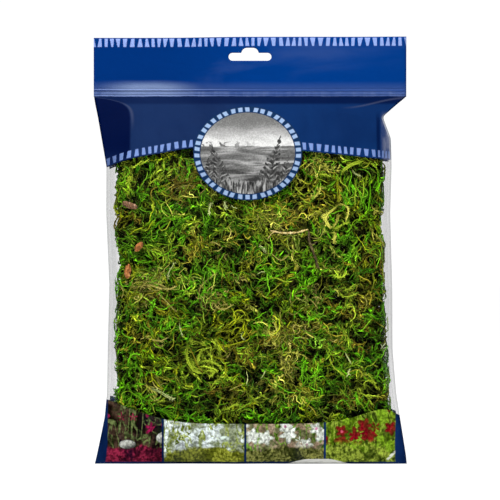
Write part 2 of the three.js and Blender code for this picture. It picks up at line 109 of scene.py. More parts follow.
def shellFaces(rows, columns):
    # a grid of points and a second one behind it, joined all round their edge
    count = rows * columns
    grid = gridFaces(rows, columns)
    index = np.arange(count).reshape(rows, columns)
    rim = np.concatenate([index[0], index[1:, -1], index[-1, -2::-1], index[-2:0:-1, 0]]).tolist()
    edge = [(a, count + a, count + b, b) for a, b in zip(rim, rim[1:] + rim[:1])]
    return grid + shifted(grid, count, turned=True) + edge


def joinMeshes(meshes):
    points, faces, offset = [], [], 0
    for part, partFaces in meshes:
        points.append(part)
        faces += shifted(partFaces, offset)
        offset += len(part)
    return np.vstack(points), faces


def stack(x, y, z):
    return np.stack([x, y, z], axis=-1)


def setFloat(mesh, name, values):
    layer = mesh.attributes.new(name, "FLOAT", "POINT")
    layer.data.foreach_set("value", np.asarray(values, np.float32))


def meshPoints(mesh):
    flat = np.zeros(len(mesh.vertices) * 3)
    mesh.vertices.foreach_get("co", flat)
    return flat.reshape(-1, 3) / mm


def meshFaces(mesh):
    return [tuple(face.vertices) for face in mesh.polygons]


def withModifiers(piece):
    graph = bpy.context.evaluated_depsgraph_get()
    return bpy.data.meshes.new_from_object(piece.evaluated_get(graph))


def attach(piece, slotName, material, nodes):
    piece.data.materials.append(material)
    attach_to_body(piece, "root")
    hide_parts(*nodes)


def fromSrgb(red, green, blue):
    values = [v / 255 for v in (red, green, blue)]
    return tuple(v / 12.92 if v < 0.04045 else ((v + 0.055) / 1.055) ** 2.4 for v in values) + (1,)


# The bag's shape

def smoothedStations():
    stations = np.array(bag["stations"], float)
    heights = np.arange(0, bag["sealBottom"] + 0.01, 0.4)
    reach = 7
    kernel = np.hanning(2 * reach + 3)[1:-1]
    kernel /= kernel.sum()
    endFade = np.clip(np.minimum(heights, heights[-1] - heights) / 3, 0, 1)
    columns = []
    for i in range(1, 7):
        raw = np.interp(heights, stations[:, 0], stations[:, i])
        soft = np.convolve(np.pad(raw, reach, mode="edge"), kernel, mode="valid")
        columns.append(raw + (soft - raw) * endFade)
    return heights, columns


stationHeights, stationColumns = smoothedStations()


def bagAt(z):
    return {name: np.interp(z, stationHeights, column) for name, column in zip(partNames, stationColumns)}


def panelDepth(shape, x):
    reach = np.where(x < 0, shape["left"], shape["right"])
    across = np.clip(np.abs(x) / reach, 0, 1)
    return shape["depth"] + shape["bulge"] * (1 - across ** bag["bulgePower"])


def curveBetween(before, a, b, after, t):
    # a smooth course from a to b, which also heeds the knots on both sides of them
    return 0.5 * (2 * a + (b - before) * t + (2 * before - 5 * a + 4 * b - after) * t ** 2
                  + (3 * a - before - 3 * b + after) * t ** 3)


def splineHeight(points, x):
    knots = np.array(points, float)
    t = np.linspace(0, 1, 16, endpoint=False)[:, None]
    around = np.vstack([knots[:1], knots, knots[-1:]])
    dense = [curveBetween(*around[i:i + 4], t) for i in range(len(knots) - 1)]
    dense = np.vstack(dense + [knots[-1:]])
    return np.interp(x, dense[:, 0], dense[:, 1])


def emblemFloor(x):
    across = (x - emblem["x"]) / emblem["radiusX"]
    arc = emblem["z"] - emblem["radiusZ"] * np.sqrt(np.clip(1 - across ** 2, 0, 1))
    return np.where(np.abs(across) <= 1, arc, 1e3)


# Soft ripples and folds of the film

filmFolds = {
    "rippleSeed": 12,
    "rippleCount": 9,
    "rippleHeight": 0.11,
    # from and to as x and z, height, half-width; on the front
    "front": [
        ((-113, 270), (-97, 266), 0.5, 2.4),
        ((-97, 266), (-89, 256), 0.5, 2.4),
        ((-89, 256), (-88, 236), 0.4, 2.4),
        ((113, 270), (70, 266), 1.0, 2.2),
        ((112, 268), (98, 257), 1.4, 2.4),
        ((97, 257), (92, 240), 0.9, 2.2),
        ((96, 254), (60, 262), 0.6, 3.5),
        ((98, 0), (109, 11.5), 1.3, 1.5),
        ((104, 9), (95, 27), 0.4, 1.6),
        ((107, 12), (104, 40), 0.4, 1.6),
        ((-104, 47), (-91, 37), 0.7, 1.0),
        ((-101, 120), (-94, 100), 0.5, 2.0),
        ((99, 150), (92, 128), 0.5, 2.0),
    ],
}


def ripples(x, z, seed):
    random = np.random.default_rng(seed)
    total = np.zeros_like(x)
    for _ in range(filmFolds["rippleCount"]):
        turn = random.uniform(0, math.pi)
        length = random.uniform(16, 60)
        phase = random.uniform(0, 2 * math.pi)
        wave = (x * math.cos(turn) + z * math.sin(turn)) * 2 * math.pi / length + phase
        total += np.sin(wave + 0.8 * np.sin(wave * 0.37 + phase)) * filmFolds["rippleHeight"] * length / 30
    return total


def besideWay(x, z, start, end):
    # how far along the way the nearest point lies, and the gap to it
    start = np.array(start, float)
    run = np.array(end, float) - start
    t = np.clip(((x - start[0]) * run[0] + (z - start[1]) * run[1]) / run.dot(run), 0, 1)
    return t, np.hypot(x - start[0] - t * run[0], z - start[1] - t * run[1])


def foldRelief(x, z):
    total = np.zeros_like(x)
    for start, end, height, width in filmFolds["front"]:
        t, gap = besideWay(x, z, start, end)
        total += height * (0.35 + 0.65 * np.sin(math.pi * t)) * np.exp(-gap / width)
    return total


# Film sheets: columns round the bag, rows from one printed edge to the next

def filmColumns():
    even = np.linspace(-1, 1, 113)
    quarter = np.linspace(0, math.pi / 2, 22)
    lobe = np.concatenate([-np.cos(quarter), np.cos(quarter), [-1.0012, 1.0012]])
    lobe = (emblem["x"] + emblem["radiusX"] * lobe) / bag["straightHalfWidth"] * bag["straightShare"]
    clear = even[[np.min(np.abs(lobe - t)) > 0.004 for t in even]]
    front = np.unique(np.round(np.concatenate([clear, lobe]), 6))
    gusset = np.linspace(0, 2, 13)[1:-1]
    back = np.linspace(1, -1, 81)
    panels = [front, gusset, back, gusset]
    return np.repeat(np.arange(4), [len(panel) for panel in panels]), np.concatenate(panels)


panelOf, acrossPanel = filmColumns()  # a column's panel (front, right, back, left) and its place across


def columnX(shape):
    share, inner, t = bag["straightShare"], bag["straightHalfWidth"], acrossPanel
    reach = np.where(t < 0, shape["left"], shape["right"])
    outer = np.sign(t) * (inner + (np.abs(t) - share) / (1 - share) * (reach - inner))
    x = np.where(np.abs(t) <= share, t / share * inner, outer)
    tucked = 1 - np.abs(1 - t)
    x = np.where(panelOf == 1, shape["right"] - shape["tuckRight"] * tucked, x)
    return np.where(panelOf == 3, -shape["left"] + shape["tuckLeft"] * tucked, x)


def filmSheet(z):
    shape = bagAt(z)
    x = columnX(shape)
    onFront, onRight, onBack, onLeft = (panelOf == number for number in range(4))
    y = panelDepth(shape, x) * np.where(onFront, -1, 1)
    y = np.where(onRight, shape["depth"] * (acrossPanel - 1), y)
    y = np.where(onLeft, shape["depth"] * (1 - acrossPanel), y)
    fade = np.clip((bag["sealBottom"] - z) / 6, 0, 1) * np.clip((shape["depth"] - 1) / 6, 0, 1)
    edgeFade = np.clip((1 - np.abs(acrossPanel)) * 9, 0, 1)
    seed = filmFolds["rippleSeed"]
    y -= onFront * fade * edgeFade * ripples(x, z, seed)
    y -= onFront * fade * (0.4 + 0.6 * edgeFade) * foldRelief(x, z)
    y += onBack * fade * edgeFade * ripples(x, z, seed + 1) * 1.4
    wave = ripples(y * 2 + 40, z, seed + 2) * fade * (1 - np.abs(1 - acrossPanel)) * 1.6
    x += wave * onLeft - wave * onRight
    return stack(x, y, z).reshape(-1, 3)


def printBorder(edge, z):
    # where a printed edge crosses each column, from a first guess of its height
    z = np.full(len(panelOf), float(z))
    for _ in range(4):
        z = splineHeight(bag[edge], columnX(bagAt(z)))
    return z


def upperBorder():
    z = printBorder("headerEdge", 225)
    return np.where(panelOf == 0, np.minimum(z, emblemFloor(columnX(bagAt(z)))), z)


def lowerBorder():
    return printBorder("footEdge", 38)


def sheetMesh(rows, low, high, ease=1.0):
    share = np.linspace(0, 1, rows)[:, None] ** ease
    return filmSheet(low + share * (high - low)), gridFaces(rows, len(panelOf), closed=True)


def flatUnwrap(piece, low, high):
    mesh = piece.data
    layer = mesh.uv_layers.new(name="OFBake")
    points = meshPoints(mesh)
    loops = np.zeros(len(mesh.loops), int)
    mesh.loops.foreach_get("vertex_index", loops)
    uv = np.zeros((len(loops), 2))
    for face in mesh.polygons:
        span = slice(face.loop_start, face.loop_start + face.loop_total)
        x, y, z = points[loops[span]].T
        outX, outY, outZ = face.normal
        up = (z - low) / (high - low)
        if abs(outX) > abs(outY) and abs(outX) > abs(outZ):
            u, v = up, (0.92 if outX > 0 else 0.96) + 0.03 * (y + 34) / 68
        elif abs(outZ) > 0.9 and z.max() < 1:
            u, v = (x + 120) / 240, 0.88 + 0.035 * (y + 34) / 68
        else:
            u, v = (x + 118) / 236, (0.01 if outY < 0 else 0.45) + 0.42 * up
        uv[span] = np.stack([0.01 + 0.98 * u, v], axis=-1)
    layer.data.foreach_set("uv", uv.ravel().astype(np.float32))


def sideGap(points, shape):
    # how far inside the bag's side creases, to the nearer one
    return np.where(points[:, 0] < 0, shape["left"], shape["right"]) - np.abs(points[:, 0])


# Node helpers

class Wire:
    # a value that runs between nodes: sums and products of it become Math nodes
    def __init__(self, socket):
        self.socket = socket

    def __add__(self, other):
        return maths("ADD", self, other)

    def __radd__(self, other):
        return maths("ADD", other, self)

    def __sub__(self, other):
        return maths("SUBTRACT", self, other)

    def __rsub__(self, other):
        return maths("SUBTRACT", other, self)

    def __mul__(self, other):
        return maths("MULTIPLY", self, other)

    def __truediv__(self, other):
        return maths("DIVIDE", self, other)

    def __abs__(self):
        return maths("ABSOLUTE", self)


def feed(value, socket):
    if isinstance(value, Wire):
        socket.id_data.links.new(value.socket, socket)
    else:
        socket.default_value = value


def wired(kind, inputs, output=0, **settings):
    # a node in the tree that the given wires run in; inputs go by name or number
    tree = next(value.socket.id_data for value in inputs.values() if isinstance(value, Wire))
    node = tree.nodes.new("ShaderNode" + kind)
    for name, value in settings.items():
        setattr(node, name, value)
    for name, value in inputs.items():
        feed(value, node.inputs[name])
    return Wire(node.outputs[output])


def maths(operation, *values, kind="Math"):
    return wired(kind, dict(enumerate(values)), operation=operation)


def spread(value, fromLow, fromHigh, toLow=0.0, toHigh=1.0):
    inputs = dict(enumerate((value, fromLow, fromHigh, toLow, toHigh)))
    return wired("MapRange", inputs, interpolation_type="SMOOTHSTEP")


def between(value, low, high, soft):
    return spread(value, low - soft, low + soft) * spread(value, high + soft, high - soft)


def blendValue(share, first, second):
    return wired("Mix", {0: share, 2: first, 3: second})


def mixColour(share, first, second, blend="MIX"):
    return wired("Mix", {0: share, 6: first, 7: second}, 2, data_type="RGBA", blend_type=blend)


def stretched(place, scale):
    return maths("MULTIPLY", place, scale, kind="VectorMath")


def noise(place, scale, detail=3.0, distortion=0.0, stretch=None):
    place = stretched(place, stretch) if stretch else place
    return wired("TexNoise", {"Vector": place, "Scale": scale, "Detail": detail, "Distortion": distortion})


def ramp(value, stops):
    colours = wired("ValToRGB", {0: value})
    elements = colours.socket.node.color_ramp.elements
    while len(elements) < len(stops):
        elements.new(0.5)
    for element, (place, colour) in zip(elements, stops):
        element.position = place
        element.color = colour
    return colours


def split(value, kind="XYZ"):
    node = wired("Separate" + kind, {0: value}).socket.node
    return [Wire(socket) for socket in node.outputs]


def source(tree, kind, output, **settings):
    node = tree.nodes.new("ShaderNode" + kind)
    for name, value in settings.items():
        setattr(node, name, value)
    return Wire(node.outputs[output])


def objectPlace(tree):
    return source(tree, "TexCoord", "Object")


def placeOf(tree):
    place = objectPlace(tree)
    return [place] + [part * (1 / mm) for part in split(place)]


def attribute(tree, name, output="Fac"):
    return source(tree, "Attribute", output, attribute_name=name)


def newMaterial(name):
    material = bpy.data.materials.new(name)
    material.use_nodes = True
    return material, material.node_tree, material.node_tree.nodes["Principled BSDF"]


def dress(shader, colour, roughness, gloss, height, strength, distance):
    relief = wired("Bump", {"Strength": strength, "Distance": distance, "Height": height})
    inputs = {"Base Color": colour, "Roughness": roughness, "Specular IOR Level": gloss, "Normal": relief}
    for name, value in inputs.items():
        feed(value, shader.inputs[name])


def newGroup(name, inputs, outputs):
    # labels stand for numbers unless a kind follows, as in Tint:Color
    group = bpy.data.node_groups.new(name, "ShaderNodeTree")
    for side, labels in (("INPUT", inputs), ("OUTPUT", outputs)):
        for label in labels.split():
            label, _, kind = label.partition(":")
            group.interface.new_socket(label, in_out=side, socket_type="NodeSocket" + (kind or "Float"))
    given = [Wire(socket) for socket in group.nodes.new("NodeGroupInput").outputs]
    return group, given[:len(inputs.split())], group.nodes.new("NodeGroupOutput").inputs


def useGroup(group, **values):
    node = wired("Group", values, node_tree=group).socket.node
    return {socket.name: Wire(socket) for socket in node.outputs}


# Printed patterns shared by the header and the foot

def buildStripes():
    # light wedges side by side: each leans and tapers its own way
    group, (along, rise, pitch, strength), made = newGroup("wedgeStripes", "Along Rise Pitch Taper", "Mask")
    count = along / pitch
    count = count + maths("SINE", count * 0.9) * 0.16
    cell = maths("FLOOR", count)
    high = rise - 0.5
    taper = maths("SINE", cell * 0.85)
    lean = maths("SINE", cell * 1.3)
    width = 0.25 + taper * high * strength
    off = abs(maths("FRACT", count) - (0.5 + lean * high * 0.1))
    feed(spread(width - off, -0.05, 0.05) * between(rise, 0.0, 1.0, 0.06), made["Mask"])
    return group


def buildFernSprig():
    # a printed fern: slanted leaflets on both sides of a bent stalk
    group, given, made = newGroup("fernSprig", "X Z FootX FootZ Height Width Lean Leaflets", "Mask")
    x, z, footX, footZ, height, width, lean, leaflets = given
    up = (z - footZ) / height
    off = abs(x - (footX + lean * (up * up)))
    out = off / width
    envelope = spread((1.0 - up) * spread(up, -0.05, 0.3) - out, -0.02, 0.03)
    leaflet = between(maths("FRACT", up * leaflets - out * 2.4), 0.2, 0.8, 0.1)
    stalk = spread(off, 0.55, 0.25)
    shape = maths("MAXIMUM", envelope * leaflet, stalk)
    feed(shape * between(up, 0.0, 1.0, 0.01), made["Mask"])
    return group


def buildFilmSkin():
    # fine crinkle and wide unevenness of a plastic film
    group, (place,), made = newGroup("filmSkin", "Place:Vector", "Height Roughness")
    fine = noise(place, 420, 2.0, 0.4, (1.0, 1.0, 0.35))
    wide = noise(place, 46, 4.0, 1.2, (0.5, 1.0, 1.0))
    feed(fine * 0.2 + wide, made["Height"])
    feed(spread(wide, 0.3, 0.75, 0.48, 0.62), made["Roughness"])
    return group


wedgeStripes = buildStripes()
fernSprig = buildFernSprig()
filmSkin = buildFilmSkin()
print("print patterns ready")


def dressPrint(shader, place, colour, strength):
    skin = useGroup(filmSkin, Place=place)
    dress(shader, colour, skin["Roughness"], bag["printGloss"], skin["Height"], strength, 0.0012)


# Header: printed flap with the hang slot, heat seal, shoulders and emblem

header = {
    "flapBlue": fromSrgb(1, 45, 108),
    "flapShade": fromSrgb(1, 38, 96),
    # painted sheen on the flap above the seal
    "flapSheen": fromSrgb(97, 113, 148),
    "navy": fromSrgb(9, 37, 80),
    "navyLeft": fromSrgb(16, 34, 69),
    "navyDark": fromSrgb(1, 9, 43),
    "stripe": fromSrgb(122, 141, 192),
    "lowerStripe": fromSrgb(97, 118, 166),
    "dash": fromSrgb(122, 143, 174),
    "ringNavy": fromSrgb(14, 36, 66),
    # painted light: sheen on the heat seal, highlights on folds, on the turned-in gusset and on its edge
    "seal": fromSrgb(88, 103, 142),
    "foldHighlight": fromSrgb(60, 66, 88),
    "gussetHighlight": fromSrgb(84, 89, 108),
    "edgeHighlight": fromSrgb(150, 153, 160),
    "topLift": 1.5,  # the flap's upper edge over the plain box, at the left and in the middle
    "middleLift": 0.9,
    "topStripesDrop": 6.8,
    "topStripesHeight": 6.1,
    "lowerStripesFrom": 1.0,
    "lowerStripesHeight": 5.2,
    "stripePitch": 5.0,
    "slotHalfWidth": 16,
    "slotBottom": 298.5,
    "slotTop": 304.4,
    "humpHalfWidth": 6.5,
    "humpFlat": 2,
    "humpTop": 308.2,
    "flapWave": 0.9,
    "foldX": -88.5,
    # ferns in the emblem's picture: foot x, foot z, height, width, lean, leaflets
    "sprigs": [(-21, 199, 36, 11, -8, 10), (14, 197, 45, 13, 9, 12), (25, 204, 24, 8, 4, 8),
               (-31, 206, 24, 7, 3, 8)],
}


def slotOutline():
    radius = (header["slotTop"] - header["slotBottom"]) / 2
    middle = header["slotBottom"] + radius
    reach = header["slotHalfWidth"] - radius
    turns = np.linspace(-math.pi / 2, math.pi / 2, 13)
    half = [(reach + radius * math.cos(a), middle + radius * math.sin(a)) for a in turns]
    start = np.array([header["humpHalfWidth"], header["slotTop"]])
    bend = np.array([header["humpHalfWidth"] * 0.85, header["humpTop"]])
    end = np.array([header["humpFlat"], header["humpTop"]])
    for t in np.linspace(0, 1, 9):
        half.append(tuple((1 - t) ** 2 * start + 2 * t * (1 - t) * bend + t * t * end))
    return half + [(-x, z) for x, z in reversed(half)]


def flapLean(x, z):
    up = np.clip((z - bag["sealTop"]) / 37, 0, 1)
    return header["flapWave"] * up * (np.sin(x / 31 + 0.6) + 0.6 * np.sin(x / 13 + 2.0))


def buildFlap():
    xs = np.linspace(-bag["flapHalfWidth"], bag["flapHalfWidth"], 118)
    seal = np.linspace(bag["sealBottom"], bag["sealTop"] + 1, 13)
    zs = np.concatenate([seal, np.linspace(bag["sealTop"] + 2, bag["height"], 27)])
    x, z = np.meshgrid(xs, zs)
    up = np.clip((z - bag["sealTop"]) / (bag["height"] - bag["sealTop"]), 0, 1)
    middle = np.clip((x + 60) / 60, 0, 1)
    lift = header["topLift"] + header["middleLift"] * middle * middle * (3 - 2 * middle)
    ridge = 0.22 * np.cos((z - bag["sealBottom"]) * 2 * math.pi / 2.2) * (z < bag["sealTop"] + 0.6)
    edge = np.clip((bag["flapHalfWidth"] - np.abs(x)) / 1.5, 0.25, 1)
    half = (0.55 + ridge) * edge * np.clip((bag["height"] - z) / 1.5, 0.25, 1)
    lean = flapLean(x, z)
    sides = [stack(x, lean + way * half, z + lift * up).reshape(-1, 3) for way in (-1, 1)]
    return makePiece("flapSolid", np.vstack(sides), shellFaces(len(zs), len(xs)))


def cutSlot(flap):
    outline = slotOutline()
    count = len(outline)
    points = [(x, y, z) for y in (-6, 6) for x, z in outline]
    faces = [tuple(range(count)), tuple(reversed(range(count, 2 * count)))]
    faces += [(i, count + i, count + (i + 1) % count, (i + 1) % count) for i in range(count)]
    cutter = makePiece("slotCutter", points, faces, smooth=False)
    cut = flap.modifiers.new("slot", "BOOLEAN")
    cut.operation = "DIFFERENCE"
    cut.solver = "EXACT"
    cut.object = cutter
    mesh = withModifiers(flap)
    for spare in (flap, cutter):
        bpy.data.objects.remove(spare)
    points, faces = meshPoints(mesh), meshFaces(mesh)
    bpy.data.meshes.remove(mesh)
    return points, faces


def sealMarks(place, x, z, colour):
    # the heat seal: a greyish band of painted sheen with fine upright ticks
    bottom, top = bag["sealBottom"], bag["sealTop"]
    leftward = spread(x, 20, -75, 0.1, 1.0)
    sealHeight = z + (noise(place, 60) - 0.5) * 1.8
    band = between(sealHeight, bottom + 0.3, top - 1.2, 0.7)
    patch = spread(noise(place, 60, 4.0, stretch=(1.0, 1.0, 2.0)), 0.3, 0.7, 0.3, 1.0)
    ticks = spread(noise(place, 420, 2.0, stretch=(1.0, 1.0, 0.04)), 0.35, 0.7, 0.55, 1.0)
    colour = mixColour(band * patch * ticks * spread(x, 30, -60, 0.55, 1.0), colour, header["seal"])
    # painted shade: a dark line just under the seal's top, strongest at the left
    shadeLine = between(z, top - 1.0, top - 0.4, 0.3) * 0.75
    colour = mixColour(shadeLine * leftward, colour, header["navyDark"])
    # painted highlights along the seal's top and on its lower lip, in the stripes' colour, strongest at the
    # left
    highlightLine = between(z, top + 0.1, top + 0.6, 0.3)
    colour = mixColour(highlightLine * leftward * 0.6, colour, header["stripe"])
    lipHighlight = between(sealHeight, bottom + 0.4, bottom + 0.9, 0.3) * 0.5
    return mixColour(lipHighlight * leftward, colour, header["stripe"])


def shoulderShadesAndHighlights(place, x, z, gap):
    # navy film under the seal: painted shade at a fold on the left and in a band, painted highlights at the
    # right
    cloud = noise(place, 22, 3.0, 0.8, (1.0, 1.0, 0.6))
    colour = mixColour(spread(x, -30, 30), header["navyLeft"], header["navy"])
    colour = mixColour(spread(cloud, 0.3, 0.7, 0.35, 0.0), colour, header["navyDark"])
    pastFold = x - (header["foldX"] - maths("EXPONENT", (z - 270.5) / 3.4) * 24)
    # painted highlight along the left fold line
    foldHighlightLine = between(pastFold, 0.6, 2.4, 1.2) * spread(z, 244, 262, 0.0, 0.5)
    colour = mixColour(foldHighlightLine, colour, header["foldHighlight"])
    # painted shade in a band under the seal and on the far side of the left fold
    underSealShade = spread(z, 264.8, 267.4) * spread(x, -90, 60, 0.5, 0.8)
    leftFoldShade = spread(pastFold, 1.2, -1.2) * spread(z, 214, 234, 0.3, 1.0)
    colour = mixColour(maths("MAXIMUM", leftFoldShade, underSealShade), colour, header["navyDark"])
    # right side: painted highlights on a slanting crease and the turned-in gusset, painted shade in its fold
    slant = z - spread(x, 70, 116, 263.5, 271.0)
    crease = between(slant, -0.9, 0.2, 0.7) * spread(x, 66, 84, 0.0, 0.45)
    colour = mixColour(crease, colour, header["foldHighlight"])
    low = spread(z, 262, 252)
    streaks = spread(noise(place, 300, 2.0, stretch=(1.0, 1.0, 0.05)), 0.35, 0.65, 0.25, 1.0)
    turned = spread(x, 96, 100.5) * low * streaks
    colour = mixColour(turned * 0.85, colour, header["gussetHighlight"])
    inner = between(x, 93.6, 96.2, 0.8) * (low * 0.7)
    colour = mixColour(inner, colour, header["navyDark"])
    # painted highlight along the gusset's outer edge
    rim = spread(gap, 1.7, 0.7) * (low * spread(x, 90, 94))
    return mixColour(rim * 0.8, colour, header["edgeHighlight"])


def printedStripes(x, z, gapAbove, colour):
    # one border along the top and one along the lower edge
    topHeight = bag["height"] + header["topLift"] - header["topStripesDrop"]
    topFrom = spread(x, -60, 0, topHeight, topHeight + header["middleLift"])
    topRise = (z - topFrom) / header["topStripesHeight"]
    top = useGroup(wedgeStripes, Along=x, Rise=topRise, Pitch=header["stripePitch"], Taper=0.24)["Mask"]
    colour = mixColour(top, colour, header["stripe"])
    lowRise = (gapAbove - header["lowerStripesFrom"]) / header["lowerStripesHeight"]
    squeeze = maths("MAXIMUM", x - 90, 0)
    along = x + 1.7 + squeeze * squeeze * 0.045
    low = useGroup(wedgeStripes, Along=along, Rise=lowRise, Pitch=header["stripePitch"], Taper=0.12)["Mask"]
    faded = spread(x, 86, 102, 1.0, 0.45) * spread(x, -108, -86, 0.4, 1.0)
    return mixColour(low * faded, colour, header["lowerStripe"])


def printedEmblem(place, x, z, facing, colour):
    # dashed ring round a grey picture of ferns on open ground
    offX = (x - emblem["x"]) / emblem["radiusX"]
    offZ = (z - emblem["z"]) / emblem["radiusZ"]
    radius = maths("SQRT", offX * offX + offZ * offZ)
    colour = mixColour(spread(radius, 1.01, 0.995) * facing, colour, header["ringNavy"])
    turn = maths("ARCTAN2", offZ, offX) * (emblem["dashes"] / (2 * math.pi))
    uneven = maths("SINE", maths("FLOOR", turn) * 2.3) * 0.07
    leaning = (radius - 0.93) * (uneven * 14)
    dash = between(maths("FRACT", turn) + uneven + leaning, 0.2, 0.76, 0.07)
    ring = between(radius, 0.888, 0.98, 0.008)
    colour = mixColour(dash * ring * facing, colour, header["dash"])
    inPicture = spread(radius, emblem["pictureShare"] + 0.006, emblem["pictureShare"] - 0.006) * facing
    return mixColour(inPicture, colour, emblemPicture(place, x, z))


def headerMaterial():
    material, tree, shader = newMaterial("printedHeaderFilm")
    place, x, y, z = placeOf(tree)
    onFlap = spread(z, bag["sealBottom"] + 0.1, bag["sealBottom"] + 0.9)
    flapColour = mixColour(spread(x, 30, -90), header["flapBlue"], header["flapShade"])
    # painted sheen: the flap is painted paler above the seal, most at the left, and in faint wisps
    wisp = noise(place, 24, 4.0, 0.8, (0.35, 1.0, 1.2))
    sheen = spread(z + wisp * 4, 286, 279.6) * (between(x, -98, -52, 20) + 0.14)
    sheen = sheen + spread(wisp, 0.5, 0.75, 0.0, 0.1)
    flapColour = mixColour(sheen, flapColour, header["flapSheen"])
    colour = mixColour(onFlap, shoulderShadesAndHighlights(place, x, z, attribute(tree, "sideGap")), flapColour)
    colour = sealMarks(place, x, z, colour)
    colour = printedStripes(x, z, attribute(tree, "aboveEdge"), colour)
    colour = printedEmblem(place, x, z, spread(y, 2.0, -2.0), colour)
    dressPrint(shader, place, colour, 0.25)
    return material


def emblemPicture(place, x, z):
    # a soft grey picture: low hills, bright sky over them, ferns and grass in front
    bentX = x + (noise(place, 140, 2.0) - 0.5) * 5
    bentZ = z + (noise(place, 170, 2.0, stretch=(1.3, 1.0, 0.8)) - 0.5) * 5
    hill = 229.5 + noise(place, 30, 3.0, stretch=(1.0, 0.0, 0.0)) * 9
    clouds = noise(place, 60, 5.0, 0.8, (0.6, 1.0, 1.6))
    skyTone = spread(z + clouds * 14, 240, 262, 1.0, 0.52)
    streak = noise(place, 150, 5.0, 0.7, (0.22, 1.0, 1.8))
    land = spread(z, 234, 198, 0.62, 0.42) + spread(streak, 0.3, 0.7, -0.24, 0.24)
    tone = blendValue(spread(z - hill, 0.5, -0.5), skyTone, land)
    farTrees = spread(noise(place, 190, 4.0, 0.5, (1.0, 1.0, 1.4)), 0.5, 0.56)
    treeLine = farTrees * between(z - hill, -0.5, 3.2, 1.0) * spread(x, -28, 8, 0.8, 0.1)
    tone = blendValue(treeLine, tone, 0.3)
    ferns = 0.0
    for footX, footZ, height, width, lean, leaflets in header["sprigs"]:
        sprig = useGroup(fernSprig, X=bentX, Z=bentZ, FootX=footX, FootZ=footZ, Height=height, Width=width,
                         Lean=lean, Leaflets=leaflets)["Mask"]
        ferns = maths("MAXIMUM", ferns, sprig)
    fernTone = spread(noise(place, 330, 3.0), 0.35, 0.65, 0.1, 0.42)
    tone = blendValue(ferns * 0.9, tone, fernTone)
    blades = noise(place, 520, 3.0, 0.6, (1.0, 1.0, 0.16))
    grassTop = 198 + noise(place, 150, 3.0, stretch=(1.0, 0.0, 0.0)) * 20
    tone = blendValue(spread(z - grassTop, 0.8, -0.8), tone, spread(blades, 0.32, 0.68, 0.12, 0.8))
    grain = spread(noise(place, 900, 2.0), 0.25, 0.75, -0.06, 0.06)
    greys = [(0.0, 0.003), (0.3, 0.035), (0.55, 0.115), (0.8, 0.27), (1.0, 0.5)]
    return ramp(tone + grain, [(stop, (grey, grey, grey * 0.98, 1)) for stop, grey in greys])


def buildHeader():
    flap = cutSlot(buildFlap())
    sheet = sheetMesh(38, upperBorder(), bag["sealBottom"] + 0.2)
    points, faces = joinMeshes([flap, sheet])
    piece = makePiece("bagHeader", points, faces)
    gaps = np.maximum(sideGap(sheet[0], bagAt(sheet[0][:, 2])), 0)
    allPoints = meshPoints(piece.data)
    setFloat(piece.data, "aboveEdge", allPoints[:, 2] - splineHeight(bag["headerEdge"], allPoints[:, 0]))
    setFloat(piece.data, "sideGap", np.concatenate([np.full(len(flap[0]), 40.0), gaps]))
    flatUnwrap(piece, 190, 314)
    attach(piece, "printed_film", headerMaterial(), ["bag_header"])
    print("header", len(faces), "faces")


# Clear window

clearFilm = {
    "roughness": 0.12,
    "gloss": 0.18,
    "haze": 0.003,
    "sideHaze": 0.2,
    # painted highlight along the creases: how much less clear they are, and their paler tint below
    "creaseHighlightAlpha": 0.12,
    "edgeHaze": 0.03,
    "tint": fromSrgb(52, 54, 52),
    "smearTint": fromSrgb(84, 86, 84),
    "creaseHighlight": fromSrgb(112, 114, 116),
}


def clearMaterial():
    material, tree, shader = newMaterial("clearFilm")
    place, _, y, _ = placeOf(tree)
    crease = attribute(tree, "crease")
    smear = noise(place, 30, 5.0, 1.0, (1.0, 1.0, 0.4))
    tint = mixColour(spread(smear, 0.35, 0.7), clearFilm["tint"], clearFilm["smearTint"])
    # painted highlight: the film is painted paler and less clear along its creases and folds
    tint = mixColour(crease, tint, clearFilm["creaseHighlight"])
    relief = useGroup(filmSkin, Place=place)["Height"]
    dress(shader, tint, clearFilm["roughness"], clearFilm["gloss"], relief, 0.3, 0.0012)
    facing = source(tree, "LayerWeight", "Fresnel")
    facing.socket.node.inputs["Blend"].default_value = 0.25
    frontMost = spread(y, 4, -4, 0.12, 1.0)
    alpha = clearFilm["haze"] + crease * frontMost * clearFilm["creaseHighlightAlpha"]
    alpha = alpha + facing * clearFilm["edgeHaze"]
    alpha = alpha + spread(smear, 0.55, 0.8, 0.0, 0.008)
    outward = spread(attribute(tree, "sideGap"), 9.5, 4.5, 0.0, clearFilm["sideHaze"]) * frontMost
    feed(alpha + outward, shader.inputs["Alpha"])
    return material


def buildWindow():
    points, faces = sheetMesh(50, lowerBorder(), upperBorder())
    piece = makePiece("bagWindow", points, faces)
    x, y, z = points.T
    shape = bagAt(z)
    gap = sideGap(points, shape)
    folds = np.where(y < 0, foldRelief(x, z), 0)
    # where the painted crease highlight falls: near the side creases and along the folds
    creases = np.exp(-np.hypot(gap, np.abs(y) - shape["depth"]) / 1.3)
    setFloat(piece.data, "crease", np.clip(creases + folds * 0.25, 0, 1))
    setFloat(piece.data, "sideGap", np.maximum(gap, 0))
    flatUnwrap(piece, 28, 236)
    attach(piece, "clear_film", clearMaterial(), ["bag_window"])
    print("window", len(faces), "faces")


# Foot: printed band of plant panels, and the base

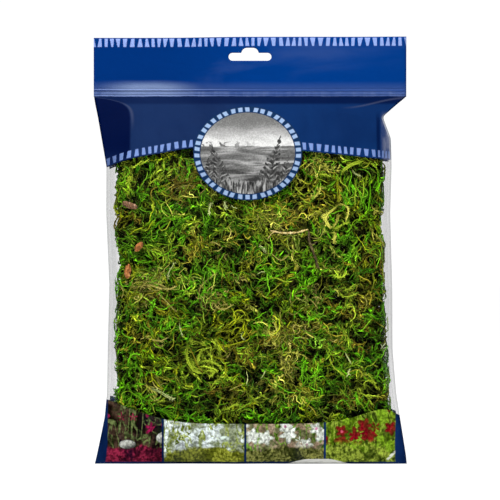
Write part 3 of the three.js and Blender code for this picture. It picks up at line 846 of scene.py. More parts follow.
foot = {
    "navy": fromSrgb(12, 36, 78),
    "navyDark": fromSrgb(1, 8, 38),
    "paleFilm": fromSrgb(186, 186, 182),
    # painted glint on the film's folds
    "creaseGlint": fromSrgb(214, 216, 204),
    "separators": [-64, -3.5, 55],
    "separatorHalfWidth": 0.8,
    "bottomStrip": 1.6,
    "liftX": 50,  # where a strip of pale film is painted along the front edge of the base
    "liftHeight": 3.9,
    "liftHalfWidth": 27,
    "sideNavyTop": 1.2,
    "sideNavyBottom": 7.5,
    # one row a panel, in the order of panelTones
    "tones": [
        ((14, 6, 3), (56, 42, 32), (46, 8, 20), (116, 28, 52), (20, 28, 8), (86, 98, 56), (136, 14, 66),
         (184, 90, 124), (172, 174, 166)),
        ((112, 120, 96), (192, 202, 202), (66, 72, 14), (126, 132, 44), (76, 88, 22), (136, 148, 70),
         (200, 208, 204), (136, 148, 100), (190, 204, 198)),
        ((118, 100, 82), (142, 126, 106), (36, 42, 12), (112, 114, 58), (46, 68, 14), (108, 142, 50),
         (204, 208, 202), (156, 46, 116), (150, 140, 116)),
        ((66, 92, 10), (104, 138, 28), (44, 58, 10), (128, 144, 50), (38, 52, 8), (120, 140, 46),
         (112, 4, 22), (186, 80, 100), (120, 130, 60)),
    ],
    # one row a panel, in the order of panelNumbers: heights, shares of the cells, and cells a metre
    "numbers": [(14, 40, 0.6, 92, 0.7), (22, 42, 0.45, 88, 0.5), (14, 40, 0.85, 84, 0.12),
                (16, 44, 0.95, 80, 0.0)],
}
panelTones = ["Back", "SoftBack", "Ground", "LightGround", "Leaf", "LightLeaf", "Bloom", "Eye", "Stone"]
panelNumbers = ["BloomLow", "BloomHigh", "BloomShare", "Cells", "StoneShare"]


def flatCells(vector, scale, randomness):
    # cells in the flat of the print: distance from a cell's middle, the way there, and a random colour
    distance = wired("TexVoronoi", {"Vector": vector, "Scale": scale, "Randomness": randomness}, "Distance")
    tint, middle = (Wire(distance.socket.node.outputs[name]) for name in ("Color", "Position"))
    return distance, split(maths("SUBTRACT", vector, middle, kind="VectorMath")), split(tint, "Color")


def buildLeafyPanel():
    # printed garden picture: backdrop, long leaves, pale stones, blooms and fine growth along the ground
    labels = ["Place:Vector", "Up"] + [tone + ":Color" for tone in panelTones] + panelNumbers
    group, given, made = newGroup("leafyPanel", " ".join(labels), "Color:Color")
    place, up = given[:2]
    back, softBack, ground, lightGround, green, lightGreen, bloom, eye, pebble = given[2:11]
    bloomLow, bloomHigh, bloomShare, cellScale, stoneShare = given[11:]
    blur = noise(place, 84, 3.0, 0.5)
    colour = mixColour(spread(blur, 0.42, 0.58), back, softBack)
    # broad leaves as bands of a wandering field, crossed by thin stems
    leaf = between(noise(place, 74, 2.0, 1.6, (1.0, 1.0, 0.55)), 0.53, 0.6, 0.01)
    leafTone = noise(place, 300, 3.0, 0.8, (1.0, 1.0, 0.4))
    leaves = mixColour(spread(leafTone, 0.38, 0.62), green, lightGreen)
    colour = mixColour(leaf * spread(up, 48, 38), colour, leaves)
    stem = between(noise(place, 110, 1.0, 0.9, (1.0, 1.0, 0.3)), 0.485, 0.515, 0.008)
    colour = mixColour(stem * 0.85, colour, lightGreen)
    shadow = noise(place, 150, 3.0, 0.6)
    colour = mixColour(spread(shadow, 0.52, 0.36, 0.0, 0.7), colour, green)
    # ground growth, uneven along its upper edge
    groundTop = -1 + noise(place, 58, 3.0) * 25
    tuft = noise(place, 480, 4.0, 0.15, (1.0, 1.0, 0.6)) + (blur - 0.5) * 0.7
    growth = mixColour(spread(tuft, 0.36, 0.66), ground, lightGround)
    growth = mixColour(spread(blur, 0.55, 0.4, 0.0, 0.6), growth, ground)
    colour = mixColour(spread(up - groundTop, 1.2, -1.2), colour, growth)
    # smooth pale stones lying in the growth
    distance, (wayX, _, wayZ), (_, random, _) = flatCells(stretched(place, (1.0, 0.0, 1.8)), 40, 0.9)
    stone = spread(0.4 - distance, -0.012, 0.02) * spread(stoneShare - random, -0.01, 0.01)
    stone = stone * spread(up, 30, 24)
    stoneTone = mixColour(spread(wayZ + wayX * -0.5, -0.009, 0.006), green, pebble)
    stoneTone = mixColour(spread(shadow, 0.45, 0.3, 0.0, 0.5), stoneTone, ground)
    colour = mixColour(stone, colour, stoneTone)
    # blooms: the distance from a cell's middle, waved five times round it
    cells = flatCells(stretched(place, (1.0, 0.0, 1.0)), cellScale, 0.85)
    distance, (wayX, _, wayZ), (red, random, blue) = cells
    turn = maths("ARCTAN2", wayZ, wayX) * 5 + random * 6.3
    lobes = (0.46 + maths("COSINE", turn) * 0.1) * (0.75 + blue * 0.5)
    gap = lobes - distance + (shadow - 0.5) * 0.3
    inZone = spread(up - bloomLow, -3, 3) * spread(up - bloomHigh, 3, -3)
    mask = spread(gap, -0.02, 0.04) * inZone * spread(bloomShare - red, -0.02, 0.02)
    petals = mixColour(spread(gap, 0.22, 0.0, 0.0, 0.45), bloom, green)
    petals = mixColour(spread(leafTone, 0.6, 0.4, 0.0, 0.35), petals, green)
    petals = mixColour(spread(distance, 0.13, 0.05, 0.0, 0.8), petals, eye)
    colour = mixColour(mask, colour, petals)
    # fine light and dark, as in a photographic print
    flecks = spread(noise(place, 560, 5.0, 0.3), 0.32, 0.68, 0.5, 1.45)
    greys = wired("CombineColor", {0: flecks, 1: flecks, 2: flecks})
    feed(mixColour(1.0, colour, greys, "MULTIPLY"), made["Color"])
    return group


def footMaterial():
    material, tree, shader = newMaterial("printedFootFilm")
    place, x, y, z = placeOf(tree)
    leafyPanel = buildLeafyPanel()
    facing = spread(y, 2.0, -2.0)
    cloud = spread(noise(place, 26, 3.0), 0.3, 0.7)
    colour = mixColour(cloud, foot["navyDark"], foot["navy"])
    sideNavy = spread(z, 0, 48, foot["sideNavyBottom"], foot["sideNavyTop"]) + spread(x, 80, 100, 0.0, 0.8)
    inPanels = spread(attribute(tree, "sideGap") - sideNavy, -0.5, 0.5)
    inPanels = inPanels * spread(z, foot["bottomStrip"] - 0.5, foot["bottomStrip"] + 0.4) * facing
    borders = [-130] + foot["separators"] + [130]
    rim = foot["separatorHalfWidth"]
    for number, (tones, numbers) in enumerate(zip(foot["tones"], foot["numbers"])):
        moved = maths("ADD", place, (0.31 * number, 0, 0.017 * number), kind="VectorMath")
        values = {label: fromSrgb(*tone) for label, tone in zip(panelTones, tones)}
        values.update(zip(panelNumbers, numbers))
        panel = useGroup(leafyPanel, Place=moved, Up=z, **values)["Color"]
        inWidth = between(x, borders[number] + rim, borders[number + 1] - rim, 0.35)
        colour = mixColour(inWidth * inPanels, colour, panel)
    shade = noise(place, 34, 3.0, 0.8, (1.0, 1.0, 0.5))
    colour = mixColour(spread(shade, 0.5, 0.3, 0.0, 0.4), colour, foot["navyDark"])
    offLift = abs((x - foot["liftX"]) / foot["liftHalfWidth"])
    lift = spread(offLift, 1.0, 0.25) * foot["liftHeight"]
    colour = mixColour(spread(z - lift, 0.0, -0.4) * facing, colour, foot["paleFilm"])
    # painted highlight: a pale glint along the film's folds
    glint = spread(attribute(tree, "crease"), 0.6, 0.85, 0.0, 0.8) * facing
    colour = mixColour(glint, colour, foot["creaseGlint"])
    dressPrint(shader, place, colour, 0.3)
    return material


def buildFoot():
    points, faces = sheetMesh(26, np.zeros(len(panelOf)), lowerBorder(), 1.25)
    faces.append(tuple(reversed(range(len(panelOf)))))
    piece = makePiece("bagFoot", points, faces)
    piece.modifiers.new("flatBase", "TRIANGULATE").min_vertices = 5
    mesh = withModifiers(piece)
    piece.modifiers.clear()
    piece.data = mesh
    mesh.name = "bagFoot"
    allPoints = meshPoints(mesh)
    x, y, z = allPoints.T
    shape = bagAt(z)
    turnedIn = np.abs(y) < panelDepth(shape, x) - 2.5
    setFloat(mesh, "sideGap", np.where(turnedIn, 0, np.maximum(sideGap(allPoints, shape), 0)))
    setFloat(mesh, "crease", np.where(turnedIn | (y > 0), 0, foldRelief(x, z)))
    flatUnwrap(piece, 0, 54)
    attach(piece, "printed_foot_film", footMaterial(), ["bag_foot"])
    print("foot", len(mesh.polygons), "faces")


# Moss fill: its outer limit is a rounded rectangle at each height, walked by length

moss = {
    "filmClearance": 1.5,
    # how far the fill's uneven edges keep from the film: height, left, right
    "edges": [(40, 3.6, 3), (50, 4, 3), (61, 4.6, 2.2), (72, 3.2, 1.4), (83, 1.8, 1), (91, 2.8, 1),
              (102, 3, 1.1), (117, 2, 1.8), (128, 2.4, 2.5), (135, 3.8, 3.3), (146, 6, 3), (161, 4, 2.8),
              (171, 2.8, 4.3), (182, 6.4, 5), (191, 3.9, 3), (205, 4.6, 2), (213, 6, 1.2), (220, 6, 2.2),
              (230, 7, 5)],
    "cornerRadius": 5,
    "bottom": 3,
    "top": 252,
    "roundLength": 485,
    "seed": 41,
    "fronds": 3900,
    "branchlets": 9,
    "stemPoints": 7,
    "stemRadius": 0.55,
    "branchRadius": 0.66,
    "branchPoints": 5,
    "branchProfile": (0.8, 1.0, 1.0, 0.8, 0.0),
    "stemLength": (12, 22),
    "branchLength": (4.5, 9.5),
    "layers": [(-8.0, 0.22), (-5.2, 0.28), (-2.9, 0.3), (-1.1, 0.2)],  # height, share of the fronds
    # how light a strand is at a height over or under the fill's own skin
    "shadeHeights": (-13, -10, -8, -5.5, -3.5, -1.5, 0.5),
    "shades": (0.005, 0.012, 0.028, 0.12, 0.4, 0.88, 1.14),
    "threads": 1400,
    "threadPoints": 11,
    "threadRadius": (0.22, 0.38),
    "strayPoints": 9,
    "leaflets": 13,
    "leafletLength": (1.0, 2.2),
    "sideEnds": [0.412, 0.488, 0.912, 0.988],  # front, right, back, left as shares of the way round
    "frondEnds": [0.73, 0.78, 0.95, 1],
    "backSeed": 7,
    "backFronds": 340,
    "backFrondEnds": [0.0, 0.1, 0.9, 1],
    "flatBelow": -4.4,
    "fineSeed": 19,
    "fineLeavesFront": 5,
    "fineLeavesBack": 3,
    "fineLeafLength": (1.3, 2.4),
    "fineLeafRadius": (0.26, 0.42),
    "fineLeafRise": (-0.8, 0.15),
    "fineLeafLight": (-0.5, 0.72),
    "gloss": 0.03,
    # painted shade deep in the fill, then the mat's own tint
    "deepShadeTint": (0.005, 0.008, 0.0006),
    "matTint": (0.075, 0.112, 0.022),
}


def mossAt(z):
    shape = bagAt(np.minimum(z, moss["top"]))
    depth = shape["depth"] - bag["filmThickness"] - moss["filmClearance"]
    heights, left, right = np.array(moss["edges"], float).T
    return {
        "left": shape["left"] - np.interp(z, heights, left),
        "right": shape["right"] - np.interp(z, heights, right),
        "depth": depth,
        "radius": np.minimum(moss["cornerRadius"], depth * 0.9),
        "shape": shape,
    }


def mossSkin(share, z, lift):
    # points over the fill's skin by their share of the way round, and which way is out
    limit = mossAt(z)
    left, right, depth, radius = (limit[key] for key in ("left", "right", "depth", "radius"))
    side = 2 * (depth - radius)
    arc = math.pi / 2 * radius
    runs = np.stack([left + right - 2 * radius, arc, side, arc] * 2)
    ends = np.cumsum(runs, axis=0)
    along = (share - np.floor(share)) * ends[-1]
    run = np.sum(along > ends[:-1], axis=0)
    along = along - np.take_along_axis(ends - runs, run[None], axis=0)[0]
    turn = (run - 1) * math.pi / 4 - math.pi / 2 + along / radius
    edge = np.where((run == 1) | (run == 3), right - radius, radius - left)
    face = np.where((run == 1) | (run == 7), -1, 1)
    straight = [run == 0, run == 2, run == 4, run == 6]
    outX = np.select(straight, [0, 1, 0, -1], np.cos(turn))
    outY = np.select(straight, [-1, 0, 1, 0], np.sin(turn))
    x = np.select(straight, [-left + radius + along, right, right - radius - along, -left],
                  edge + outX * radius)
    y = np.select(straight, [-depth, -depth + radius + along, depth, depth - radius - along],
                  face * (depth - radius) + outY * radius)
    extra = panelDepth(limit["shape"], x) - limit["shape"]["depth"]
    y = y + np.sign(y) * extra * np.minimum(1, np.abs(y) / (depth * 0.8))
    out = stack(outX, outY, np.zeros_like(x))
    return stack(x, y, z) + out * np.asarray(lift)[..., None], out


def insideFilm(points, margin):
    shape = bagAt(points[..., 2])
    free = bag["filmThickness"] + margin
    depth = panelDepth(shape, points[..., 0]) - free
    y = np.clip(points[..., 1], -depth, depth)
    opened = 1 - np.minimum(np.abs(y) / shape["depth"], 1)
    ends = []
    for side, tuck in (("left", "tuckLeft"), ("right", "tuckRight")):
        slant = np.sin(np.arctan2(shape["depth"], shape[tuck]))
        ends.append(shape[side] - shape[tuck] * opened - free / slant)
    x = np.clip(points[..., 0], -ends[0], ends[1])
    return stack(x, y, np.clip(points[..., 2], moss["bottom"] - 1 + margin, moss["top"] + 1))


# woodland bits caught behind the front film: way as x and z, and how wide they lie
debrisWays = [
    ([(42.9, 171.4), (44.6, 163), (47.8, 153.5), (51, 144.1)], 1.6),
    ([(15, 171.6), (24, 169.9), (34, 170.2), (43, 172.4)], 1.2),
    ([(-93.5, 190.3), (-83.5, 190.3)], 2.8),
    ([(-84.5, 156.5), (-79.5, 162.7)], 2.2),
    ([(-90.5, 137), (-89.5, 146)], 2.2),
]

clumpLayers = [
    {"name": "moss_front_", "y": -15, "columns": 3, "rows": 4, "jitter": 34},
    {"name": "moss_back_", "y": 15, "columns": 2, "rows": 3, "jitter": 40},
]
clumpTones = ["moss_green", "moss_olive", "moss_bright", "moss_deep", "moss_yellow", "moss_brown"]


def steadyRandom(state):
    while True:
        state = (state * 1664525 + 1013904223) % 4294967296
        yield state / 4294967296


def clumpSites():
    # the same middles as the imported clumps, drawn in the same order
    random = steadyRandom(moss["seed"])
    sites = []
    for layer in clumpLayers:
        rows, columns, jitter = layer["rows"], layer["columns"], layer["jitter"]
        for number in range(rows * columns):
            x = ((number % columns + 0.5) / columns - 0.5) * 205 + (next(random) - 0.5) * jitter
            z = moss["bottom"] + (number // columns + 0.5) / rows * (moss["top"] - moss["bottom"])
            y = layer["y"] + (next(random) - 0.5) * 6
            z += (next(random) - 0.5) * jitter
            for _ in range(5):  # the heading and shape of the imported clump
                next(random)
            tone = clumpTones[len(sites) % len(clumpTones)]
            sites.append((layer["name"] + str(number + 1), (x, y, z), tone))
    return sites


# tints of single shoots
shootTints = {
    "bright": fromSrgb(94, 170, 16),
    "green": fromSrgb(82, 150, 6),
    "deep": fromSrgb(42, 104, 3),
    "lime": fromSrgb(152, 176, 40),
    "olive": fromSrgb(130, 140, 10),
    "yellow": fromSrgb(192, 190, 74),
    "gold": fromSrgb(166, 154, 40),
    "tan": fromSrgb(162, 152, 74),
    "brown": fromSrgb(102, 88, 20),
    "pale": fromSrgb(186, 198, 124),
    "white": fromSrgb(196, 202, 164),
}
evenShares = {"bright": 0.2, "green": 0.35, "deep": 0.15, "lime": 0.11, "olive": 0.12, "yellow": 0.02,
              "gold": 0.02, "tan": 0.01, "brown": 0.02}
# stretches of the fill where one tint is common: x, z, radius, how strongly
tintPatches = {
    "lime": [(-91, 211, 5, 3), (-86, 220, 6, 2), (-74, 222, 7, 1.6), (-71, 208, 5, 1.5), (-70, 184, 4, 2),
        (-41, 174, 5, 1.5), (-63, 156, 6, 2.4), (-62, 147, 5, 1.6), (-85, 113, 5, 1.4), (-98, 82, 4, 2),
        (-38, 76, 10, 3.2), (-43, 85, 4, 2.2), (-33, 78, 7, 2.6), (-74, 48, 9, 1.6), (-50, 56, 5, 1.8),
        (-22, 181, 8, 2), (13, 178, 6, 1.8), (22, 154, 7, 1.6), (-27, 87, 4, 2), (-27, 72, 6, 3),
        (-28, 58, 4, 2), (6, 49, 6, 1.8), (15, 43, 7, 1.6), (78, 220, 5, 2), (81, 202, 7, 2),
        (67, 139, 6, 3), (74, 126, 6, 2.4), (70, 107, 7, 2), (59, 87, 6, 1.4), (74, 95, 6, 1.6),
        (74, 61, 6, 1.6), (87, 58, 8, 2.6), (79, 48, 4, 2)],
    "olive": [(-81, 211, 5, 1.5), (-59, 220, 7, 2), (-72, 196, 6, 1.6), (-85, 175, 7, 1.6),
        (-87, 124, 9, 1.6), (-48, 113, 7, 1.8), (-74, 82, 10, 2.6), (-74, 70, 7, 1.8), (-55, 72, 7, 1.8),
        (-55, 47, 6, 1.4), (1, 181, 9, 2.2), (24, 167, 4, 1.4), (-18, 148, 4, 2.6), (-4, 144, 6, 1.6),
        (15, 128, 7, 1.4), (-18, 120, 6, 1.4), (-7, 107, 9, 2), (-18, 102, 10, 2.2), (-11, 92, 9, 2.4),
        (37, 102, 10, 2), (-21, 75, 7, 1.8), (-11, 61, 7, 1.8), (26, 60, 9, 1.8), (-15, 43, 9, 1.8),
        (63, 224, 5, 1.6), (52, 205, 7, 2.4), (55, 197, 7, 2), (78, 187, 7, 2), (87, 176, 7, 2),
        (64, 183, 5, 2), (87, 161, 10, 3), (90, 139, 9, 3), (101, 55, 6, 1.6)],
    "yellow": [(-47, 219, 4, 1.5), (-61, 192, 6, 1.4), (-47, 190, 6, 1.3), (-50, 137, 5, 1.8),
        (-76, 58, 5, 1.5), (16, 184, 6, 3.2), (37, 185, 4, 1.6), (32, 150, 6, 1.8), (-5, 119, 4, 2),
        (16, 97, 7, 3.6), (28, 73, 6, 2.6), (22, 54, 9, 1.4), (37, 50, 4, 1.6), (50, 222, 8, 3),
        (70, 227, 4, 1.6), (56, 182, 4, 4)],
    "brown": [(-48, 205, 10, 2.2), (-58, 202, 6, 1.6), (-98, 171, 5, 2), (-92, 183, 5, 1.6),
        (-67, 123, 7, 1.6), (-76, 112, 7, 1.8), (-54, 104, 6, 1.3), (-85, 91, 7, 2), (24, 188, 4, 1.6),
        (-26, 146, 4, 1.8), (-28, 115, 6, 1.4), (27, 91, 6, 2.2), (-9, 79, 7, 2.4), (-3, 73, 7, 1.8),
        (9, 87, 5, 1.6), (-18, 55, 7, 2), (41, 200, 6, 1.2), (50, 194, 4, 1.4), (79, 168, 6, 1.2),
        (92, 149, 7, 1.6), (81, 113, 7, 1.4), (78, 87, 6, 1.4), (63, 50, 5, 2), (70, 48, 5, 1.4),
        (90, 44, 4, 1.4)],
    "tan": [(-37, 209, 4, 1.4), (-74, 132, 9, 1.6), (-74, 91, 6, 1.4), (-67, 58, 6, 1.8), (-21, 160, 4, 1.6),
        (6, 183, 3, 1.4), (30, 168, 7, 1.4), (-13, 140, 4, 1.8), (-30, 123, 7, 1.5), (35, 123, 5, 2),
        (37, 98, 9, 1.4), (33, 67, 4, 1.2), (47, 119, 4, 2.2)],
    "bright": [(-39, 190, 4, 2.2), (-33, 191, 7, 2), (-49, 181, 4, 2.4), (-26, 132, 9, 3.6),
        (-38, 132, 4, 2), (-55, 123, 6, 2.6), (-64, 103, 7, 2.4), (-65, 95, 6, 1.6), (-46, 50, 9, 2.4),
        (18, 137, 7, 2), (39, 72, 5, 2.2), (72, 202, 7, 4), (70, 211, 5, 3), (70, 156, 7, 3),
        (80, 144, 6, 2), (55, 117, 7, 2.4)],
    "green": [(-67, 175, 9, 3), (-33, 183, 7, 2), (-96, 154, 6, 1.8), (-70, 149, 6, 2), (-37, 141, 9, 2.4),
        (-100, 126, 4, 2.5), (-98, 89, 6, 2.2), (-84, 75, 7, 1.8), (-62, 64, 5, 1.6), (-92, 54, 7, 2),
        (-85, 47, 7, 1.6), (-28, 174, 7, 1.6), (-7, 175, 6, 1.4), (9, 149, 7, 2), (35, 137, 7, 2.8),
        (26, 120, 4, 1.6), (16, 72, 6, 1.8), (10, 58, 7, 2.6), (30, 45, 7, 1.6), (87, 191, 7, 2.6),
        (96, 209, 6, 2), (48, 175, 6, 2.6), (70, 169, 7, 2.6), (55, 165, 7, 2), (44, 139, 7, 2.2),
        (98, 112, 6, 3), (50, 96, 7, 1.6), (92, 87, 9, 3), (52, 76, 7, 2.4), (70, 72, 7, 1.6),
        (98, 70, 7, 2), (59, 63, 9, 2.4), (46, 58, 7, 1.6), (52, 48, 7, 1.8), (96, 50, 6, 1.8)],
    "gold": [(-41, 163, 7, 1.8), (-39, 157, 6, 2.2), (-18, 166, 5, 2), (25, 183, 6, 3.4), (35, 178, 5, 2.4),
        (4, 153, 3, 2.4), (26, 102, 6, 2.2), (0, 85, 7, 1.8), (17, 43, 4, 1.4), (92, 222, 4, 2),
        (55, 215, 7, 1.8), (43, 211, 4, 1.6), (46, 191, 6, 2), (64, 202, 3, 3), (87, 123, 7, 2.2),
        (85, 107, 5, 1.4), (61, 93, 5, 2.6), (44, 75, 3, 2), (62, 80, 4, 1.6), (41, 49, 6, 2.6),
        (32, 43, 4, 1.6)],
    "deep": [(-4, 165, 7, 2.4), (0, 128, 6, 2), (85, 75, 6, 1.4)],
}
# dark dips between the tufts: x, z, radius, depth
hollows = [
    (-86, 194, 5, 5), (-92, 178, 4, 4), (61, 150, 6, 6), (55, 134, 6, 5), (50, 126, 5, 4), (64, 107, 4, 6),
    (92, 102, 4, 6), (19, 115, 5, 6), (12, 109, 4, 6), (4, 119, 4, 4), (-13, 157, 4, 6), (-24, 160, 3, 5),
    (-54, 78, 6, 6), (-79, 126, 4, 4), (44, 175, 4, 5), (72, 133, 6, 5), (92, 198, 4, 4), (-4, 162, 4, 4),
    (-47, 191, 2, 4), (44, 81, 4, 6), (77, 58, 4, 6), (62, 48, 4, 5), (2, 64, 5, 6), (-16, 52, 4, 6),
    (-27, 44, 4, 5), (7, 70, 4, 4), (74, 79, 4, 5), (86, 82, 4, 5), (-63, 82, 4, 5), (-50, 87, 4, 4),
    (-38, 89, 3, 5), (-74, 72, 4, 4), (-33, 75, 2, 3), (37, 175, 4, 5), (33, 191, 3, 5), (-85, 85, 4, 4),
    (15, 52, 4, 5), (78, 120, 4, 4), (69, 120, 4, 4), (-58, 47, 4, 5), (41, 202, 3, 4), (50, 191, 4, 4),
    (-7, 185, 4, 4), (-96, 67, 4, 4), (75, 214, 3, 4), (-25, 65, 4, 4),
]
# places where the shoots lie one way: x, z, radius, heading in degrees, how strongly
combs = [
    (72, 203, 10, -95, 3), (85, 198, 12, -85, 3), (96, 202, 7, -80, 2), (80, 221, 6, 205, 2),
    (-91, 211, 7, -85, 3), (-78, 222, 7, 30, 2), (-67, 175, 10, 38, 3), (-70, 208, 7, 40, 2),
    (-48, 205, 10, 35, 2), (-50, 219, 10, -80, 2), (22, 137, 10, 5, 2.5), (37, 143, 7, 35, 2),
    (-32, 132, 9, 10, 1.5), (-96, 87, 6, 80, 1.5), (-11, 95, 12, 10, 1.5), (95, 161, 12, -75, 2.5),
    (99, 112, 6, -80, 2), (70, 156, 7, -80, 2), (55, 165, 6, -50, 1.5), (-53, 124, 6, 0, 2),
    (-67, 55, 7, -30, 1.5), (-70, 48, 10, 30, 2.5), (92, 61, 7, -45, 1.5), (85, 50, 7, 10, 1.5),
    (59, 58, 9, -10, 1.5), (70, 95, 7, -80, 1.5), (-18, 55, 9, 40, 2), (-7, 44, 9, 25, 1.5),
    (-74, 80, 9, 80, 1.5),
]
# places where the shoots curl round a middle: x, z, radius, how strongly
whirls = [
    (-35, 78, 10, 4), (-28, 70, 6, 3), (-85, 75, 6, 2), (64, 184, 6, 2), (-16, 97, 10, 1.5), (9, 61, 7, 2),
    (-37, 146, 7, 1.5),
]
# finely curled threads gather here: x, z, radius
threadTufts = [
    (-39, 158, 7), (-50, 137, 4), (16, 183, 7), (25, 181, 6), (36, 178, 5), (1, 183, 7), (50, 222, 7),
    (-18, 166, 5), (4, 153, 3), (-63, 156, 5), (-87, 123, 7), (-30, 122, 7), (26, 95, 7), (37, 97, 7),
    (-7, 80, 7), (28, 73, 5), (41, 49, 6), (61, 92, 4), (47, 118, 4), (24, 55, 7), (-48, 205, 9),
    (-74, 132, 7), (87, 120, 5), (92, 157, 7), (17, 96, 6), (-18, 54, 5), (70, 48, 4),
]
